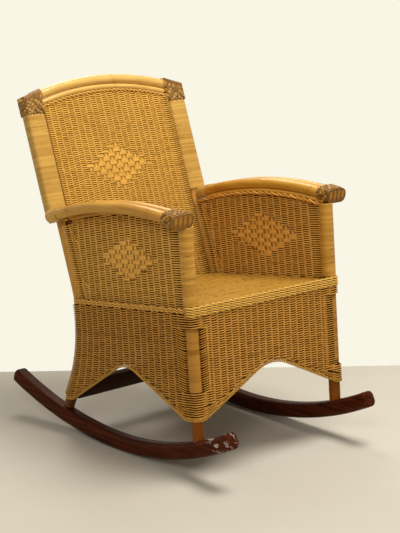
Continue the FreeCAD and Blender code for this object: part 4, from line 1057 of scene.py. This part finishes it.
weave_back()
weave_seat()
weave_front()
weave_rear()
make_hems()
make_seat_braids()
make_stretcher()
for side, sign in SIDES:
    weave_arm(side, sign)
    weave_side(side, sign)
    weave_ladder(side, sign)
wind_peel()
bind_corners()
bind_arms()

# Finishes of the solids that show

SHOWN = {
    mahogany: ["left_rocker", "right_rocker"],
    pole_along: [f"{side}_{name}" for side in ("left", "right")
                 for name in ("arm_inner_pole", "arm_outer_pole", "under_arm_pole", "seat_rail", "seat_bearer")],
    pole_across: ["upper_top_bow", "lower_top_bow", "front_seat_rail", "rear_seat_rail"],
    pole_upright: ["front_left_leg", "front_right_leg"],
    pole_post: ["rear_left_post", "rear_right_post", "left_back_pole", "right_back_pole"],
    brown_plait: ["top_left_binding", "top_right_binding"],
    arm_plait: ["left_arm_front_binding", "right_arm_front_binding"],
}
for finish, names in SHOWN.items():
    for name in names:
        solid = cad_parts[name]
        solid.data.materials.clear()
        solid.data.materials.append(finish)

# Floor, light and camera

deselect()
bpy.ops.mesh.primitive_plane_add(size=1, location=(-1.27, -1.455, 0), rotation=(0, 0, math.atan2(-0.6552, 0.7555)))
floor = bpy.context.object
floor.scale = (9.0, 5.0, 1)
bpy.ops.object.transform_apply(location=True, rotation=True, scale=True)
floor.name = "studio_floor"
floor_finish, tree, shader = new_finish("pale_floor")
tone = noise(tree, object_place(tree), 1.4, 4.0)
colour = ramp(tree, tone, (0.3, (0.56, 0.52, 0.43)), (0.7, (0.62, 0.58, 0.49)))
give(tree, shader, Base_Color=colour, Roughness=0.75)
floor.data.materials.append(floor_finish)

world = bpy.data.worlds.new("studio")
bpy.context.scene.world = world
world.use_nodes = True
tree = world.node_tree
tree.nodes.clear()
rays = put(tree, "ShaderNodeLightPath")
seen = maths(tree, "MAXIMUM", rays.outputs["Is Camera Ray"], rays.outputs["Is Glossy Ray"])
seen = maths(tree, "MAXIMUM", seen, rays.outputs["Is Transmission Ray"])
soft = put(tree, "ShaderNodeBackground", Color=(1.0, 0.96, 0.88, 1), Strength=0.26)
pale = put(tree, "ShaderNodeBackground", Color=(1.0, 0.97, 0.83, 1), Strength=0.95)
both = put(tree, "ShaderNodeMixShader", n0=seen, n1=soft.outputs[0], n2=pale.outputs[0])
put(tree, "ShaderNodeOutputWorld", Surface=both.outputs[0])


def lamp(name, place, target, size, power):
    data = bpy.data.lights.new(name, "AREA")
    data.shape = "DISK"
    data.size, data.energy, data.color = size, power, (1, 0.96, 0.9)
    item = bpy.data.objects.new(name, data)
    bpy.context.scene.collection.objects.link(item)
    item.location = place
    item.rotation_euler = (Vector(target) - Vector(place)).to_track_quat("-Z", "Y").to_euler()


lamp("overhead", (0.4, -0.95, 3.1), (0, 0, 0.5), 1.6, 84.5)
lamp("front_fill", (-2.6, -2.4, 2.2), (0, 0, 0.45), 1.3, 39.5)
lamp("rear_top", (0.9, 1.7, 2.6), (0, 0, 0.6), 1.2, 24)

bpy.context.scene.view_settings.view_transform = "Standard"
view = bpy.data.cameras.new("photo_view")
view.sensor_fit = "VERTICAL"
FILM, PICTURE_HEIGHT, FOCUS = 36, 533, 1440.56  # film in millimetres, the others in pixels
view.sensor_height = FILM
view.lens = FILM * FOCUS / PICTURE_HEIGHT
view.clip_end = 100
camera = bpy.data.objects.new("photo_view", view)
bpy.context.scene.collection.objects.link(camera)
# The camera's axes and place in the level chair, as fitted to the photograph
right = Vector((0.7531, -0.6514, -0.0923))
down = Vector((-0.1507, -0.0342, -0.988))
forward = Vector((0.6404, 0.758, -0.1239))
turned = REST.to_3x3()
axes = Matrix([turned @ right, turned @ -down, turned @ -forward]).transposed()
place = (REST @ Vector((-2439, -2667, 928))) * 0.001
camera.matrix_world = Matrix.LocRotScale(place, axes.to_quaternion(), None)
bpy.context.scene.camera = camera
